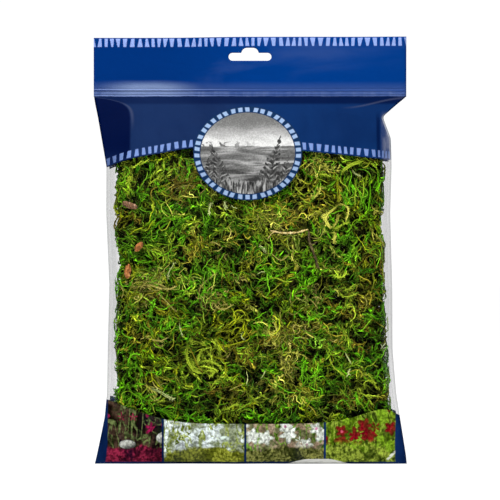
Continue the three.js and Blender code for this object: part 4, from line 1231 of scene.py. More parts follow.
# single shoots and threads that stand out: tint, then for each its radius and the x and z that it passes
strayShoots = {
    "lime": [(0.9, 86, 226, 81, 222, 75, 220, 71, 217, 67, 214), (0.7, 60, 173, 64, 173, 68, 176),
        (0.6, 67, 180, 70, 177, 73, 178), (0.6, -76, 204, -71, 209, -66, 212),
        (0.65, 82, 66, 87, 66, 91, 61, 93, 58), (0.6, 58, 81, 59, 75, 62, 70, 66, 68, 70, 64),
        (0.6, -21, 40, -16, 41, -11, 44, -7, 43), (0.5, 0, 52, 3, 48, 7, 45),
        (0.7, 50, 212, 55, 213, 60, 211), (0.5, 47, 211, 53, 209, 57, 207), (0.5, 32, 205, 37, 200, 41, 197),
        (0.5, 37, 197, 41, 193, 44, 192), (0.5, -21, 145, -20, 140, -21, 136),
        (0.5, 77, 211, 78, 203, 77, 196, 78, 189), (0.5, 83, 212, 84, 203, 83, 196),
        (0.7, 60, 140, 64, 138, 68, 138, 71, 142), (0.6, 68, 126, 73, 128, 78, 132),
        (0.6, 65, 125, 72, 123, 79, 126), (0.5, -92, 216, -92, 209, -90, 202, -90, 195),
        (0.5, -89, 216, -90, 211, -88, 204, -90, 197), (0.6, -88, 218, -83, 220, -78, 224),
        (0.6, -84, 220, -78, 222, -74, 225), (0.45, -81, 49, -77, 54, -74, 57),
        (0.5, 13, 136, 19, 137, 26, 134, 32, 135), (0.5, 85, 55, 84, 60, 88, 62),
        (0.6, 84, 50, 89, 50, 95, 49), (0.85, -45, 89, -47, 82, -45, 74, -41, 69, -35, 67),
        (0.75, -30, 86, -36, 83, -38, 77, -39, 73), (0.75, -39, 73, -34, 76, -29, 75, -23, 72, -21, 68),
        (0.66, -38, 72, -32, 72, -26, 70, -24, 68), (0.7, -35, 67, -30, 69, -26, 68, -28, 65, -30, 65),
        (0.6, -43, 77, -40, 71, -34, 70)],
    "olive": [(0.62, 65, 214, 64, 208, 64, 201, 65, 191), (0.5, -68, 203, -62, 205, -58, 207),
        (0.45, -8, 100, -4, 100, -2, 97, 0, 93, -3, 91, -10, 89, -21, 86), (0.5, -18, 61, -12, 64, -7, 67),
        (0.5, -64, 141, -62, 136, -60, 132), (0.5, -58, 138, -55, 134, -53, 130),
        (0.5, -88, 122, -84, 125, -81, 123, -83, 118), (0.5, -89, 168, -84, 172, -78, 174),
        (0.5, -4, 113, -1, 107, -3, 101), (0.5, 95, 166, 97, 157, 95, 148), (0.5, 98, 148, 98, 141, 99, 132),
        (0.8, -28, 79, -22, 78, -18, 74, -18, 69, -18, 63)],
    "yellow": [(1.1, 65, 190, 60, 186, 56, 181, 57, 176, 60, 173), (0.8, 59, 184, 54, 182, 56, 178),
        (0.8, 63, 190, 68, 191, 72, 188, 72, 184, 70, 179), (0.6, 65, 184, 64, 178, 61, 174),
        (0.9, 63, 171, 62, 167, 62, 163), (0.5, -54, 194, -50, 197, -44, 196, -37, 196),
        (0.6, 16, 107, 18, 103, 20, 98, 19, 93), (0.6, 12, 100, 15, 95, 18, 90, 19, 86),
        (0.5, 23, 99, 21, 94, 18, 90), (0.6, 51, 201, 49, 197, 47, 196), (0.55, 32, 214, 34, 211, 38, 207),
        (0.5, -33, 120, -29, 123, -25, 127)],
    "tan": [(0.45, -64, 200, -57, 205, -51, 208, -44, 211), (0.45, -55, 202, -47, 205, -39, 204),
        (0.55, -82, 131, -74, 132, -68, 130, -62, 129, -58, 129, -52, 132),
        (0.5, -80, 134, -74, 134, -66, 132, -61, 129), (0.5, -77, 127, -68, 128, -61, 129, -52, 128),
        (0.6, -70, 128, -65, 123, -60, 118, -55, 112), (0.6, -27, 119, -24, 115, -19, 114, -13, 117),
        (0.5, -24, 120, -21, 117, -16, 118), (0.5, 18, 86, 21, 88, 24, 91),
        (0.45, 44, 121, 47, 118, 50, 114), (0.4, 45, 122, 49, 123, 53, 121),
        (0.5, -69, 64, -67, 59, -64, 55), (0.45, -72, 62, -69, 57, -63, 54),
        (0.45, -16, 54, -10, 57, -5, 59), (0.45, 10, 155, 15, 155, 18, 153, 22, 150, 26, 152, 29, 155),
        (0.5, 32, 126, 34, 123, 37, 121), (0.5, -78, 94, -72, 92, -66, 91, -59, 94),
        (0.4, -70, 89, -66, 86, -63, 88), (0.5, -96, 132, -93, 127, -94, 122),
        (0.45, -86, 129, -81, 131, -77, 129), (0.5, -27, 157, -23, 157, -20, 160),
        (0.45, -30, 163, -26, 163, -21, 160), (0.5, -16, 175, -14, 171, -16, 166),
        (0.45, -32, 126, -30, 129, -25, 132), (0.5, 30, 126, 29, 121, 31, 116),
        (0.45, 35, 95, 38, 93, 44, 92), (0.45, 28, 112, 32, 110, 36, 112), (0.45, -16, 86, -15, 81, -18, 78),
        (0.4, -21, 88, -18, 83, -16, 78), (0.5, 58, 92, 61, 90, 64, 92), (0.45, 84, 123, 86, 119, 86, 114)],
    "brown": [(0.5, -59, 209, -52, 206, -44, 208, -38, 212), (0.6, -72, 126, -66, 121, -62, 118, -58, 112),
        (0.5, 91, 152, 92, 148, 92, 143)],
    "pale": [(0.7, -73, 56, -66, 53, -61, 50, -56, 48), (0.5, 70, 82, 72, 78, 75, 73),
        (0.6, 71, 64, 72, 66, 73, 70), (0.5, 8, 63, 10, 66, 11, 69), (0.45, -3, 68, -2, 63, -3, 58),
        (0.6, -27, 193, -30, 188, -30, 182), (0.6, -18, 194, -18, 191, -17, 188),
        (0.5, -14, 191, -12, 189, -9, 188), (0.6, 7, 161, 10, 158, 12, 156), (0.5, 5, 139, 8, 141, 11, 141),
        (0.5, 75, 216, 78, 213, 82, 211), (0.55, -61, 134, -60, 139, -58, 144, -55, 148),
        (0.45, -52, 105, -51, 98, -49, 93), (0.45, -5, 98, -7, 94, -4, 91)],
    "bright": [(0.6, 41, 75, 38, 71, 39, 65), (0.55, 50, 83, 48, 79, 47, 75), (0.6, 84, 84, 82, 78, 80, 73),
        (0.5, 43, 58, 47, 55, 52, 54), (0.8, 78, 53, 79, 48, 81, 44),
        (0.5, 73, 218, 75, 212, 73, 206, 74, 200), (0.5, 70, 213, 70, 206, 72, 200, 71, 194),
        (0.6, -90, 71, -89, 77, -86, 81, -81, 81), (0.5, -79, 47, -74, 51, -68, 52),
        (0.5, -79, 47, -72, 47, -64, 50), (0.5, 24, 132, 30, 136, 36, 138),
        (0.45, -74, 172, -68, 177, -62, 182), (0.45, -70, 170, -64, 175, -58, 179),
        (0.5, 83, 40, 86, 44, 88, 48)],
    "green": [(0.5, 88, 211, 89, 202, 88, 192, 87, 186), (0.5, 95, 215, 95, 207, 95, 197),
        (0.6, 44, 179, 47, 174, 47, 168), (0.5, 99, 120, 98, 114, 100, 107)],
    "white": [(0.47, 96, 88, 98, 85, 101, 86), (0.42, 98, 84, 100, 81, 99, 79),
        (0.38, 101, 88, 103, 84, 102, 81), (0.38, 96, 84, 98, 87, 100, 89)],
    "gold": [(0.5, -5, 170, -2, 166, 1, 168), (0.5, -21, 166, -17, 168, -14, 166),
        (0.5, 60, 95, 64, 94, 69, 95), (0.5, 87, 128, 89, 123, 87, 117),
        (0.5, -44, 85, -41, 79, -38, 72, -34, 67)],
}


def nearness(x, z, middleX, middleZ, radius):
    return np.exp(-((x - middleX) ** 2 + (z - middleZ) ** 2) / radius ** 2)


def chooseTints(random, x, z):
    weights = np.tile(list(evenShares.values()), (len(x), 1))
    for name, patches in tintPatches.items():
        column = list(evenShares).index(name)
        for middleX, middleZ, radius, strength in patches:
            weights[:, column] += nearness(x, z, middleX, middleZ, radius) * strength * 0.8
    chances = np.cumsum(weights / weights.sum(axis=1, keepdims=True), axis=1)
    table = np.array([shootTints[name][:3] for name in evenShares])
    picks = [(random.random(len(x))[:, None] > chances).sum(axis=1) for _ in range(2)]
    tints, others = table[np.minimum(picks, len(table) - 1)]
    share = random.uniform(0, 0.5, len(x))[:, None]
    light = np.exp(random.normal(0, 0.13, len(x)))[:, None]
    return (tints * (1 - share) + others * share) * light


def unit(vectors):
    return vectors / (np.linalg.norm(vectors, axis=-1, keepdims=True) + 1e-9)


def strandShape(points, quads, tips, roots, shares, sides, laterals, lift):
    # what the strands of one batch have in common, point by point
    share = np.append(np.repeat(shares, sides), 1.0)
    lateral = np.append(np.tile(laterals, len(shares)), 0.0)
    lifts = np.concatenate([np.repeat(lift[:, :-1], sides, axis=1), lift[:, -1:]], axis=1)
    shade = np.interp(lifts, moss["shadeHeights"], moss["shades"])
    faces = [quads, tips, roots]
    return {"points": points, "faces": faces, "share": share, "lateral": lateral, "shade": shade}


def tubes(paths, outs, radii, lift, sides):
    # strands by centre line: ring by ring, the last point is the tip
    count, steps, _ = paths.shape
    along = unit(np.gradient(paths, axis=1))
    across = unit(np.cross(along, outs))
    up = np.cross(across, along)
    turns = math.pi / 2 + np.arange(sides) * 2 * math.pi / sides
    cosines, sines = np.cos(turns)[:, None], 0.8 * np.sin(turns)[:, None]
    ring = cosines * across[:, :-1, None, :] + sines * up[:, :-1, None, :]
    rings = paths[:, :-1, None, :] + radii[:, :-1, None, None] * ring
    points = np.concatenate([rings.reshape(count, -1, 3), paths[:, -1:, :]], axis=1)
    tip, last = (steps - 1) * sides, (steps - 2) * sides
    pairs = [(j, (j + 1) % sides) for j in range(sides)]
    quads = [(i + j, i + sides + j, i + sides + k, i + k) for i in range(0, last, sides) for j, k in pairs]
    tips = [(last + j, tip, last + k) for j, k in pairs]
    shares = np.arange(steps - 1) / (steps - 1)
    return strandShape(points, quads, tips, [tuple(range(sides))], shares, sides, np.cos(turns), lift)


def ribbons(paths, outs, radii, lift):
    # flat strands: two edge points at each step and one at the tip
    count, steps, _ = paths.shape
    across = unit(np.cross(np.gradient(paths, axis=1), outs))
    reach = radii[:, :-1, None] * across[:, :-1]
    edges = np.stack([paths[:, :-1] - reach, paths[:, :-1] + reach], axis=2)
    points = np.concatenate([edges.reshape(count, -1, 3), paths[:, -1:]], axis=1)
    quads = [(2 * i, 2 * i + 1, 2 * i + 3, 2 * i + 2) for i in range(steps - 2)]
    tips = [(2 * steps - 4, 2 * steps - 3, 2 * steps - 2)]
    shares = np.arange(steps - 1) / (steps - 1)
    return strandShape(points, quads, tips, [], shares, 2, [-1.0, 1.0], lift)


def valueAt(values, rows, t):
    # values at a place between two steps of a strand; also which step, and the share past it
    place = t * (values.shape[1] - 1)
    low = np.clip(place.astype(int), 0, values.shape[1] - 2)
    part = place - low
    shares = part if values.ndim == 2 else part[:, None]
    return values[rows, low] * (1 - shares) + values[rows, low + 1] * shares, low


def headingField(x, z):
    # which way the shoots lie, and how firmly
    wild = (2.6 * np.sin(x / 23 + 1.3 * np.sin(z / 31)) + 2.2 * np.sin(z / 19 + 1.1 * np.sin(x / 27 + 2))
            + 0.9 * np.sin((x + z) / 11))
    across, up = 0.6 * np.cos(wild), 0.6 * np.sin(wild)
    firm = np.zeros_like(x)
    courses = [(*comb[:3], comb[4], math.radians(comb[3])) for comb in combs]
    courses += [(*whirl, None) for whirl in whirls]
    for middleX, middleZ, radius, strength, turn in courses:
        near = strength * nearness(x, z, middleX, middleZ, radius)
        if turn is None:
            turn = np.arctan2(z - middleZ, x - middleX) + math.pi / 2
        across += near * np.cos(turn)
        up += near * np.sin(turn)
        firm += near
    return np.arctan2(up, across), np.clip(firm, 0, 1)


def settle(x, y, z, lift):
    # on the front, shoots sink into the hollows and behind the woodland bits
    depth = np.zeros_like(x)
    for middleX, middleZ, radius, deep in hollows:
        depth += 0.65 * deep * np.exp(-(((x - middleX) ** 2 + (z - middleZ) ** 2) / radius ** 2) ** 1.5)
    limit = np.full_like(x, 1.0)
    for way, radius in debrisWays:
        for start, end in zip(way[:-1], way[1:]):
            gap = besideWay(x, z, start, end)[1] - radius
            limit = np.minimum(limit, -3.8 + np.maximum(gap, 0) * 2.0)
    return np.where(y < 0, np.minimum(lift - np.minimum(depth, 7), limit), lift)


def walk(heading, length):
    # where a strand gets to across and up, step by step, from its first point on
    steps = np.stack([np.cos(heading), np.sin(heading)]) * (length / (heading.shape[1] - 1))[:, None]
    return np.cumsum(steps, axis=2) - steps[:, :, :1]


def stepShares(steps):
    return np.linspace(0, 1, steps)[None, :]


def plantFronds(seed, count, frondEnds):
    random = np.random.default_rng(seed)
    index = np.arange(count)
    even = (index * 0.7548776662) % 1
    side = np.searchsorted(frondEnds, even, side="right")
    startOf = np.array([0] + frondEnds[:-1])
    lowOf = np.array([moss["sideEnds"][-1] - 1] + moss["sideEnds"][:-1])
    past = (even - startOf[side]) / (np.array(frondEnds)[side] - startOf[side])
    share = lowOf[side] + past * (np.array(moss["sideEnds"])[side] - lowOf[side])
    z = moss["bottom"] + 4 + ((index * 0.569840291) % 1) * (moss["top"] - moss["bottom"] - 12)
    root, _ = mossSkin(share, z, np.zeros(count))
    x = root[:, 0]
    # few fronds where print hides them
    hidden = (z > splineHeight(bag["headerEdge"], x) + 9) | (z < splineHeight(bag["footEdge"], x) - 9)
    offX, offZ = (x - emblem["x"]) / (emblem["radiusX"] - 9), (z - emblem["z"]) / (emblem["radiusZ"] - 9)
    hidden |= (offX ** 2 + offZ ** 2 < 1) & (root[:, 1] < 0)
    keep = ~hidden | (random.random(count) < 0.2)
    share, z, x, root = share[keep], z[keep], x[keep], root[keep]
    count = len(z)
    heights, shares = zip(*moss["layers"])
    crest = np.array(heights)[random.choice(len(heights), count, p=shares)] + random.normal(0, 0.5, count)
    heading, firm = headingField(x + (root[:, 1] > 0) * 400, z)
    heading = heading + random.normal(0, 0.6, count) * (1 - 0.6 * firm)
    loose = random.random(count) < 0.3 * (1 - 0.8 * firm)
    heading = np.where(loose, random.uniform(0, 2 * math.pi, count), heading)
    length = random.uniform(*moss["stemLength"], count)
    curl = random.normal(0, 0.9, count) * (1 - 0.6 * firm)
    t = stepShares(moss["stemPoints"])
    wiggle = random.uniform(0, 2 * math.pi, (count, 1))
    direction = heading[:, None] + curl[:, None] * t + 0.35 * np.sin(t * 7 + wiggle)
    ways = walk(direction, length) - (length * 0.4 * np.stack([np.cos(heading), np.sin(heading)]))[..., None]
    lift = crest[:, None] - 2.6 * (1 - t) ** 2 - random.uniform(-0.3, 1.6, count)[:, None] * t ** 3
    return {"random": random, "share": share, "z": z, "ways": ways, "lift": lift, "direction": direction,
            "length": length, "tint": chooseTints(random, x, z), "root": root, "firm": firm}


def placeStrands(fronds, ways, lift, radius):
    share = fronds["share"][:, None] + ways[0] / moss["roundLength"]
    z = np.clip(fronds["z"][:, None] + ways[1], moss["bottom"], moss["top"])
    flat, _ = mossSkin(share, z, np.zeros_like(z))
    lift = settle(flat[..., 0], flat[..., 1], z, lift)
    points, outs = mossSkin(share, z, lift)
    return insideFilm(points, radius + 0.35), outs, lift


def growStems(fronds):
    paths, outs, lift = placeStrands(fronds, fronds["ways"], fronds["lift"], moss["stemRadius"])
    radii = moss["stemRadius"] * fronds["random"].uniform(0.8, 1.2, len(paths))[:, None]
    return paths, outs, radii * (1.05 - 0.5 * stepShares(moss["stemPoints"])), lift


def growBranchlets(fronds, number):
    random = fronds["random"]
    count = len(fronds["z"])
    at = 0.08 + 0.86 * (number + random.uniform(-0.25, 0.25, count)) / (moss["branchlets"] - 1)
    at = np.clip(at, 0.02, 0.98)
    hand = np.where((number + np.arange(count)) % 2 == 0, 1, -1)
    along = [*fronds["ways"], fronds["lift"], fronds["direction"]]
    startX, startZ, startLift, direction = (valueAt(values, np.arange(count), at)[0] for values in along)
    t = stepShares(moss["branchPoints"])
    opening = random.uniform(0.55, 1.15, count) * (1.15 - 0.4 * at) * (1 - 0.55 * fronds["firm"])
    bend = -hand * random.uniform(-0.6, 3.2, count) * (1 - 0.65 * fronds["firm"])
    length = random.uniform(*moss["branchLength"], count)
    length = length * (0.55 + 0.45 * np.sin(math.pi * np.clip(at + 0.15, 0, 1)))
    turn = (direction + hand * opening)[:, None] + bend[:, None] * t
    ways = np.stack([startX, startZ])[..., None] + walk(turn, length)
    arch = random.uniform(-0.6, 1.6, count)[:, None]
    drop = random.uniform(-0.4, 2.2, count)[:, None]
    lift = startLift[:, None] + arch * np.sin(math.pi * t * 0.8) - drop * t ** 2
    paths, outs, lift = placeStrands(fronds, ways, np.minimum(lift, 0.6), moss["branchRadius"])
    radii = moss["branchRadius"] * random.uniform(0.75, 1.2, count)[:, None] * moss["branchProfile"]
    return paths, outs, radii, lift, random.random(count) < 0.9, length


def batch(strands, tint, root, length, keep=None):
    keep = np.ones(len(tint), bool) if keep is None else keep
    return {**strands, "tint": tint, "root": root, "length": length, "keep": keep}


def frontBatch(x, z, lift, radii, tint, sides=0):
    # strands laid over the front skin by X and Z, rounded off towards the sides
    limit = mossAt(z)
    reach = np.where(x < 0, limit["left"], limit["right"])
    over = np.clip((np.abs(x) - reach + limit["radius"]) / limit["radius"], 0, 1)
    drop = limit["radius"] * (1 - np.sqrt(np.maximum(1 - over ** 2, 0)))
    extra = panelDepth(limit["shape"], x) - limit["shape"]["depth"]
    paths = insideFilm(stack(x, -(limit["depth"] + extra - drop + lift), z), 0.9)
    outs = np.tile([0.0, -1.0, 0.0], paths.shape[:2] + (1,))
    length = np.hypot(np.diff(x, axis=1), np.diff(z, axis=1)).sum(axis=1)
    strands = tubes(paths, outs, radii, lift, sides) if sides else ribbons(paths, outs, radii, lift)
    return batch(strands, tint, paths[:, 0], length)


def growThreads(random):
    # thin threads that wander and curl over the fronds
    count, points = moss["threads"], moss["threadPoints"]
    tufts = np.array(threadTufts, float)
    weight = tufts[:, 2] ** 2
    home = random.choice(len(tufts), count, p=weight / weight.sum())
    gathered = random.random(count) < 0.6
    x, z = (np.where(gathered, tufts[home, axis] + random.normal(0, 0.55, count) * tufts[home, 2],
                     random.uniform(low, high, count)) for axis, low, high in ((0, -98, 98), (1, 38, 226)))
    step = random.uniform(0.9, 2.0, count) * np.where(gathered, 0.75, 1.0)
    turns = np.where(gathered, 0.55, 0.35)[:, None] * random.normal(0, 1, (count, points))
    lean = random.normal(0, 0.17, count)[:, None]
    heading = random.uniform(0, 2 * math.pi, count)[:, None] + np.cumsum(turns + lean, axis=1)
    x = x[:, None] + np.cumsum(np.cos(heading), axis=1) * step[:, None]
    z = z[:, None] + np.cumsum(np.sin(heading), axis=1) * step[:, None]
    reach = np.where(x < 0, mossAt(z)["left"], mossAt(z)["right"]) - 2
    x = np.sign(x) * np.minimum(np.abs(x), reach)
    lift = random.uniform(-2.4, 0.2, count)[:, None]
    lift = lift + np.cumsum(random.normal(0, 0.35, (count, points)), axis=1)
    lift = settle(x, np.full_like(x, -1.0), z, np.clip(lift, -4, 0.3))
    radii = random.uniform(*moss["threadRadius"], count)[:, None] * ([1.0] * (points - 2) + [0.8, 0.0])
    tint = chooseTints(random, x[:, 0], z[:, 0])
    pale = random.uniform(0, 0.22, count)[:, None] * np.where(gathered, 1, 0.4)[:, None]
    dry = pale * random.uniform(0.6, 1.1, count)[:, None]
    tint = tint * (1 - pale) + np.array(shootTints["tan"][:3]) * dry
    light = np.exp(random.normal(-0.34, 0.5, count))[:, None]
    return frontBatch(x, z, lift, radii, tint * light)


def smoothWay(way, count):
    knots = np.array(way, float)
    knots = np.vstack([2 * knots[0] - knots[1], knots, 2 * knots[-1] - knots[-2]])
    t = np.linspace(0, len(way) - 1, count)
    low = np.minimum(t.astype(int), len(way) - 2)
    return curveBetween(*(knots[low + k] for k in range(4)), (t - low)[:, None])


def growStrayShoots(random):
    points = moss["strayPoints"]
    shoots = [(tint, shoot) for tint, drawn in strayShoots.items() for shoot in drawn]
    bundles = [shoot for shoot in shoots for _ in range(3 if shoot[1][0] > 0.65 else 2)]
    ways = np.array([smoothWay(np.reshape(shoot[1:], (-1, 2)), points) for _, shoot in bundles])
    thickness = np.array([shoot[0] * 0.62 for _, shoot in bundles])
    count = len(bundles)
    wobble = random.normal(0, 0.42, (2, count, 1)) + random.normal(0, 0.14, (2, count, points))
    wobble *= (0.4 + thickness)[None, :, None]
    lift = np.clip(-0.5 + 0.35 * np.cumsum(random.normal(0, 0.5, (count, points)), axis=1), -1.6, 0.3)
    lift[:, 0] -= 1.6
    lift[:, -1] -= 1.2
    radii = thickness[:, None] * random.uniform(0.8, 1.15, (count, points)) * 0.95
    radii[:, 0] *= 0.7
    radii[:, -1] *= 0.5
    tint = np.array([shootTints[name][:3] for name, _ in bundles])
    tint = tint * np.exp(random.normal(0, 0.25, count))[:, None] * 0.95
    x, z = ways[..., 0] + wobble[0], ways[..., 1] + wobble[1]
    return [frontBatch(x, z, lift, radii, tint, 4), growLeaflets(random, x, z, lift, thickness, tint)]


def growLeaflets(random, x, z, lift, thickness, tint):
    # short leaves that make a thick shoot look furry
    owner = np.repeat(np.where(thickness > 0.33)[0], moss["leaflets"])
    count = len(owner)
    at = random.uniform(0.03, 0.97, count)
    startX, startZ, startLift = (valueAt(values, owner, at)[0] for values in (x, z, lift))
    aheadX, aheadZ = (valueAt(values, owner, np.minimum(at + 0.05, 1))[0] for values in (x, z))
    way = np.arctan2(aheadZ - startZ, aheadX - startX)
    way = way + random.choice([-1, 1], count) * random.uniform(0.4, 1.1, count)
    length = random.uniform(*moss["leafletLength"], count) * (0.6 + thickness[owner])
    t = np.array([0, 0.55, 1.0])
    turn = way[:, None] + random.normal(0, 0.4, count)[:, None] * t
    leafX = startX[:, None] + length[:, None] * t * np.cos(turn)
    leafZ = startZ[:, None] + length[:, None] * t * np.sin(turn)
    leafLift = np.minimum(startLift[:, None] + random.uniform(-0.6, 0.5, count)[:, None] * t, 0.4)
    radii = random.uniform(0.2, 0.32, count)[:, None] * [1.0, 0.8, 0.0]
    light = np.exp(random.normal(0.05, 0.3, count))[:, None]
    return frontBatch(leafX, leafZ, leafLift, radii, tint[owner] * light)


def growFineLeaves(random, paths, outs, lift, tint, root, each):
    # the small leaves that stand along both sides of a branchlet
    owner = np.repeat(np.arange(len(paths)), each)
    count = len(owner)
    at = (np.tile(np.arange(each), len(paths)) + random.uniform(0.1, 0.9, count)) / each
    start, low = valueAt(paths, owner, at)
    out = outs[owner, low]
    along = unit(paths[owner, low + 1] - paths[owner, low])
    across = np.cross(along, out)
    angle = random.uniform(0.35, 1.0, count)[:, None]
    hand = random.choice([-1, 1], count)[:, None]
    rise = random.uniform(*moss["fineLeafRise"], count)[:, None]
    way = np.cos(angle) * along + hand * np.sin(angle) * across + rise * out
    length = (random.uniform(*moss["fineLeafLength"], count) * (1.1 - 0.5 * at))[:, None]
    tip = start + 0.6 * length * way + 0.35 * length * (way + 0.5 * along)
    steps = np.stack([start, start + 0.5 * length * way, tip], axis=1)
    radii = random.uniform(*moss["fineLeafRadius"], count)[:, None] * [0.7, 1.0, 0.0]
    leafLift = valueAt(lift, owner, at)[0][:, None] + np.array([0.0, 0.5, 0.9]) * length * rise
    strands = ribbons(insideFilm(steps, 0.3), np.repeat(out[:, None], 3, axis=1), radii, leafLift)
    light = np.exp(random.normal(*moss["fineLeafLight"], count))[:, None]
    return batch(strands, tint[owner] * light, root[owner], length[:, 0])


def frondBatches(fronds, frontLeaves, backLeaves):
    # the deep fronds are flat, the upper ones round and leafy
    root = fronds["root"]
    deep = fronds["lift"].mean(axis=1) < moss["flatBelow"]
    batches = []

    def addStrands(paths, outs, radii, lift, sides, *look, keep=True):
        batches.append(batch(tubes(paths, outs, radii, lift, sides), *look, keep & ~deep))
        batches.append(batch(ribbons(paths, outs, radii, lift), *look, keep & deep))

    addStrands(*growStems(fronds), 4, fronds["tint"] * 0.9, root, fronds["length"])
    fine = np.random.default_rng(moss["fineSeed"])
    for number in range(moss["branchlets"]):
        *strands, keep, length = growBranchlets(fronds, number)
        tint = fronds["tint"] * np.exp(fronds["random"].normal(-0.02, 0.44, len(root)))[:, None]
        addStrands(*strands, 3, tint, root, length, keep=keep)
        paths, outs, _, lift = strands
        for atFront, each in ((True, frontLeaves), (False, backLeaves)):
            leafy = keep & ~deep & ((root[:, 1] < 0) == atFront)
            parts = (values[leafy] for values in (paths, outs, lift, tint, root))
            batches.append(growFineLeaves(fine, *parts, each))
    return batches


def strandBatches():
    main = plantFronds(moss["seed"], moss["fronds"], moss["frondEnds"])
    batches = frondBatches(main, moss["fineLeavesFront"], moss["fineLeavesBack"])
    batches += [growThreads(main["random"])] + growStrayShoots(main["random"])
    behind = plantFronds(moss["backSeed"], moss["backFronds"], moss["backFrondEnds"])
    return batches + frondBatches(behind, moss["fineLeavesBack"], moss["fineLeavesBack"])


def mossMaterial(name):
    material, tree, shader = newMaterial(name)
    marks = {"Along": "alongShoot", "Across": "acrossShoot", "Share": "shootShare", "Mat": "mat"}
    leafy = useGroup(leafyShoot, Place=objectPlace(tree), Tint=attribute(tree, "shootTintAndShade", "Color"),
                     **{label: attribute(tree, mark) for label, mark in marks.items()})
    dress(shader, leafy["Color"], leafy["Roughness"], moss["gloss"], leafy["Height"], 0.6, 0.0005)
    return material


def buildLeafyShoot():
    # overlapping leaves along a shoot as chevrons, darker at the root and paler at the tip
    group, given, made = newGroup("leafyShoot", "Place:Vector Tint:Color Along Across Share Mat",
                                  "Color:Color Roughness Height")
    place, tint, along, across, share, mat = given
    off = abs(across)
    phase = maths("FRACT", (along - off * 0.5) * 0.55)
    grain = noise(place, 1400, 2.0)
    dark = mixColour(1.0, tint, (0.34, 0.38, 0.28, 1), "MULTIPLY")
    pale = mixColour(0.22, tint, (0.5, 0.53, 0.1, 1))
    colour = mixColour(spread(share, 0.0, 0.45), dark, tint)
    colour = mixColour(spread(share, 0.5, 1.0) * 0.7, colour, pale)
    # painted shade in the gaps between the overlapping leaves
    colour = mixColour(spread(phase, 0.35, 0.05) * 0.8, colour, dark)
    # painted highlight along the shoot's ridge
    ridgeHighlight = mixColour(0.85, tint, (0.82, 0.84, 1.0, 1), "SOFT_LIGHT")
    colour = mixColour(spread(off, 0.3, 0.0) * spread(share, 0.1, 0.5), colour, ridgeHighlight)
    # painted shade along the shoot's edges
    colour = mixColour(spread(off, 0.2, 0.85) * 0.85, colour, dark)
    colour = mixColour(spread(grain, 0.45, 0.75) * 0.4, colour, pale)
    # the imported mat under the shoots: a tangle of small curled strands
    upright = between(noise(place, 260, 2.0, 1.6, (1.0, 1.0, 0.6)), 0.46, 0.56, 0.02)
    lying = between(noise(place, 230, 2.0, 1.6, (0.6, 1.0, 1.0)), 0.43, 0.5, 0.02)
    tangle = maths("MAXIMUM", upright, lying * 0.6)
    gloom = mixColour(1.0, tint, (0.12, 0.12, 0.12, 1), "MULTIPLY")
    lively = mixColour(1.0, tint, (1.5, 1.5, 1.3, 1), "MULTIPLY")
    feed(mixColour(mat, colour, mixColour(tangle, gloom, lively)), made["Color"])
    feed(spread(grain, 0.3, 0.7, 0.42, 0.62), made["Roughness"])
    feed(maths("PINGPONG", phase, 0.7) + grain * 0.3 + tangle * mat, made["Height"])
    return group


leafyShoot = buildLeafyShoot()


def clumpCore(name):
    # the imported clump, drawn in a little so that the shoots stand out of it
    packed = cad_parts[name].data
    x, y, z = meshPoints(packed).T
    limit = mossAt(z)
    x = np.clip(x * 1.03, 1.8 - limit["left"], limit["right"] - 1.8)
    points = insideFilm(stack(x, y * 0.78, moss["bottom"] + (z - moss["bottom"]) * 0.99), 1.6)
    limit = mossAt(points[:, 2])
    reach = np.minimum(limit["left"], limit["right"])
    # painted shade: the core is painted nearly black deep in the fill, with the mat's tint near the front
    # and sides
    bare = np.clip(np.maximum((points[:, 1] + 14) / 8, (np.abs(points[:, 0]) - reach + 6) / 4), 0, 1)
    tints = np.array(moss["deepShadeTint"]) + bare[:, None] * (np.array(moss["matTint"]) - moss["deepShadeTint"])
    size = len(points)
    return points, meshFaces(packed), tints, np.full(size, 0.2), points[:, 2], np.zeros(size), np.ones(size)


def clumpShoots(strands, middles, number, start):
    # the strands of one batch that root nearest to this clump
    nearest = np.argmin(((strands["root"][:, None, :] - middles[None]) ** 2).sum(-1), axis=1)
    mine = (nearest == number) & strands["keep"]
    block = strands["points"][mine]
    count, each, _ = block.shape
    starts = start + np.arange(count)[:, None, None] * each
    faces = []
    for pattern in strands["faces"]:
        if pattern:
            faces += map(tuple, (starts + np.array(pattern)).reshape(-1, len(pattern[0])).tolist())
    # the shoots' tints times the painted depth shade
    tints = (strands["tint"][mine][:, None, :] * strands["shade"][mine][:, :, None]).reshape(-1, 3)
    alongs = (strands["share"][None] * strands["length"][mine][:, None]).ravel()
    shares, laterals = np.tile(strands["share"], count), np.tile(strands["lateral"], count)
    return block.reshape(-1, 3), faces, tints, shares, alongs, laterals, np.zeros(count * each)


def buildMoss():
    sites = clumpSites()
    middles = np.array([middle for _, middle, _ in sites])
    batches = strandBatches()
    materials = {tone: mossMaterial(tone.replace("moss_", "mossShoots_")) for tone in clumpTones}
    for number, (name, _, tone) in enumerate(sites):
        parts = [clumpCore(name)]
        start = len(parts[0][0])
        for strands in batches:
            parts.append(clumpShoots(strands, middles, number, start))
            start += len(parts[-1][0])
        points, faces, tints, shares, alongs, laterals, mats = zip(*parts)
        pieceName = "mossClump" + name.replace("moss_", "").replace("_", "").capitalize()
        piece = makePiece(pieceName, np.vstack(points), sum(faces, []))
        layer = piece.data.attributes.new("shootTintAndShade", "FLOAT_COLOR", "POINT")
        colour = np.hstack([np.vstack(tints), np.ones((start, 1))])
        layer.data.foreach_set("color", colour.ravel().astype(np.float32))
        marks = {"shootShare": shares, "alongShoot": alongs, "acrossShoot": laterals, "mat": mats}
        for mark, values in marks.items():
            setFloat(piece.data, mark, np.concatenate(values))
        attach(piece, tone, materials[tone], [name])
        print(pieceName, len(piece.data.polygons), "faces")


# Woodland bits: twig, straw, rolled leaf and two bark flakes behind the front film

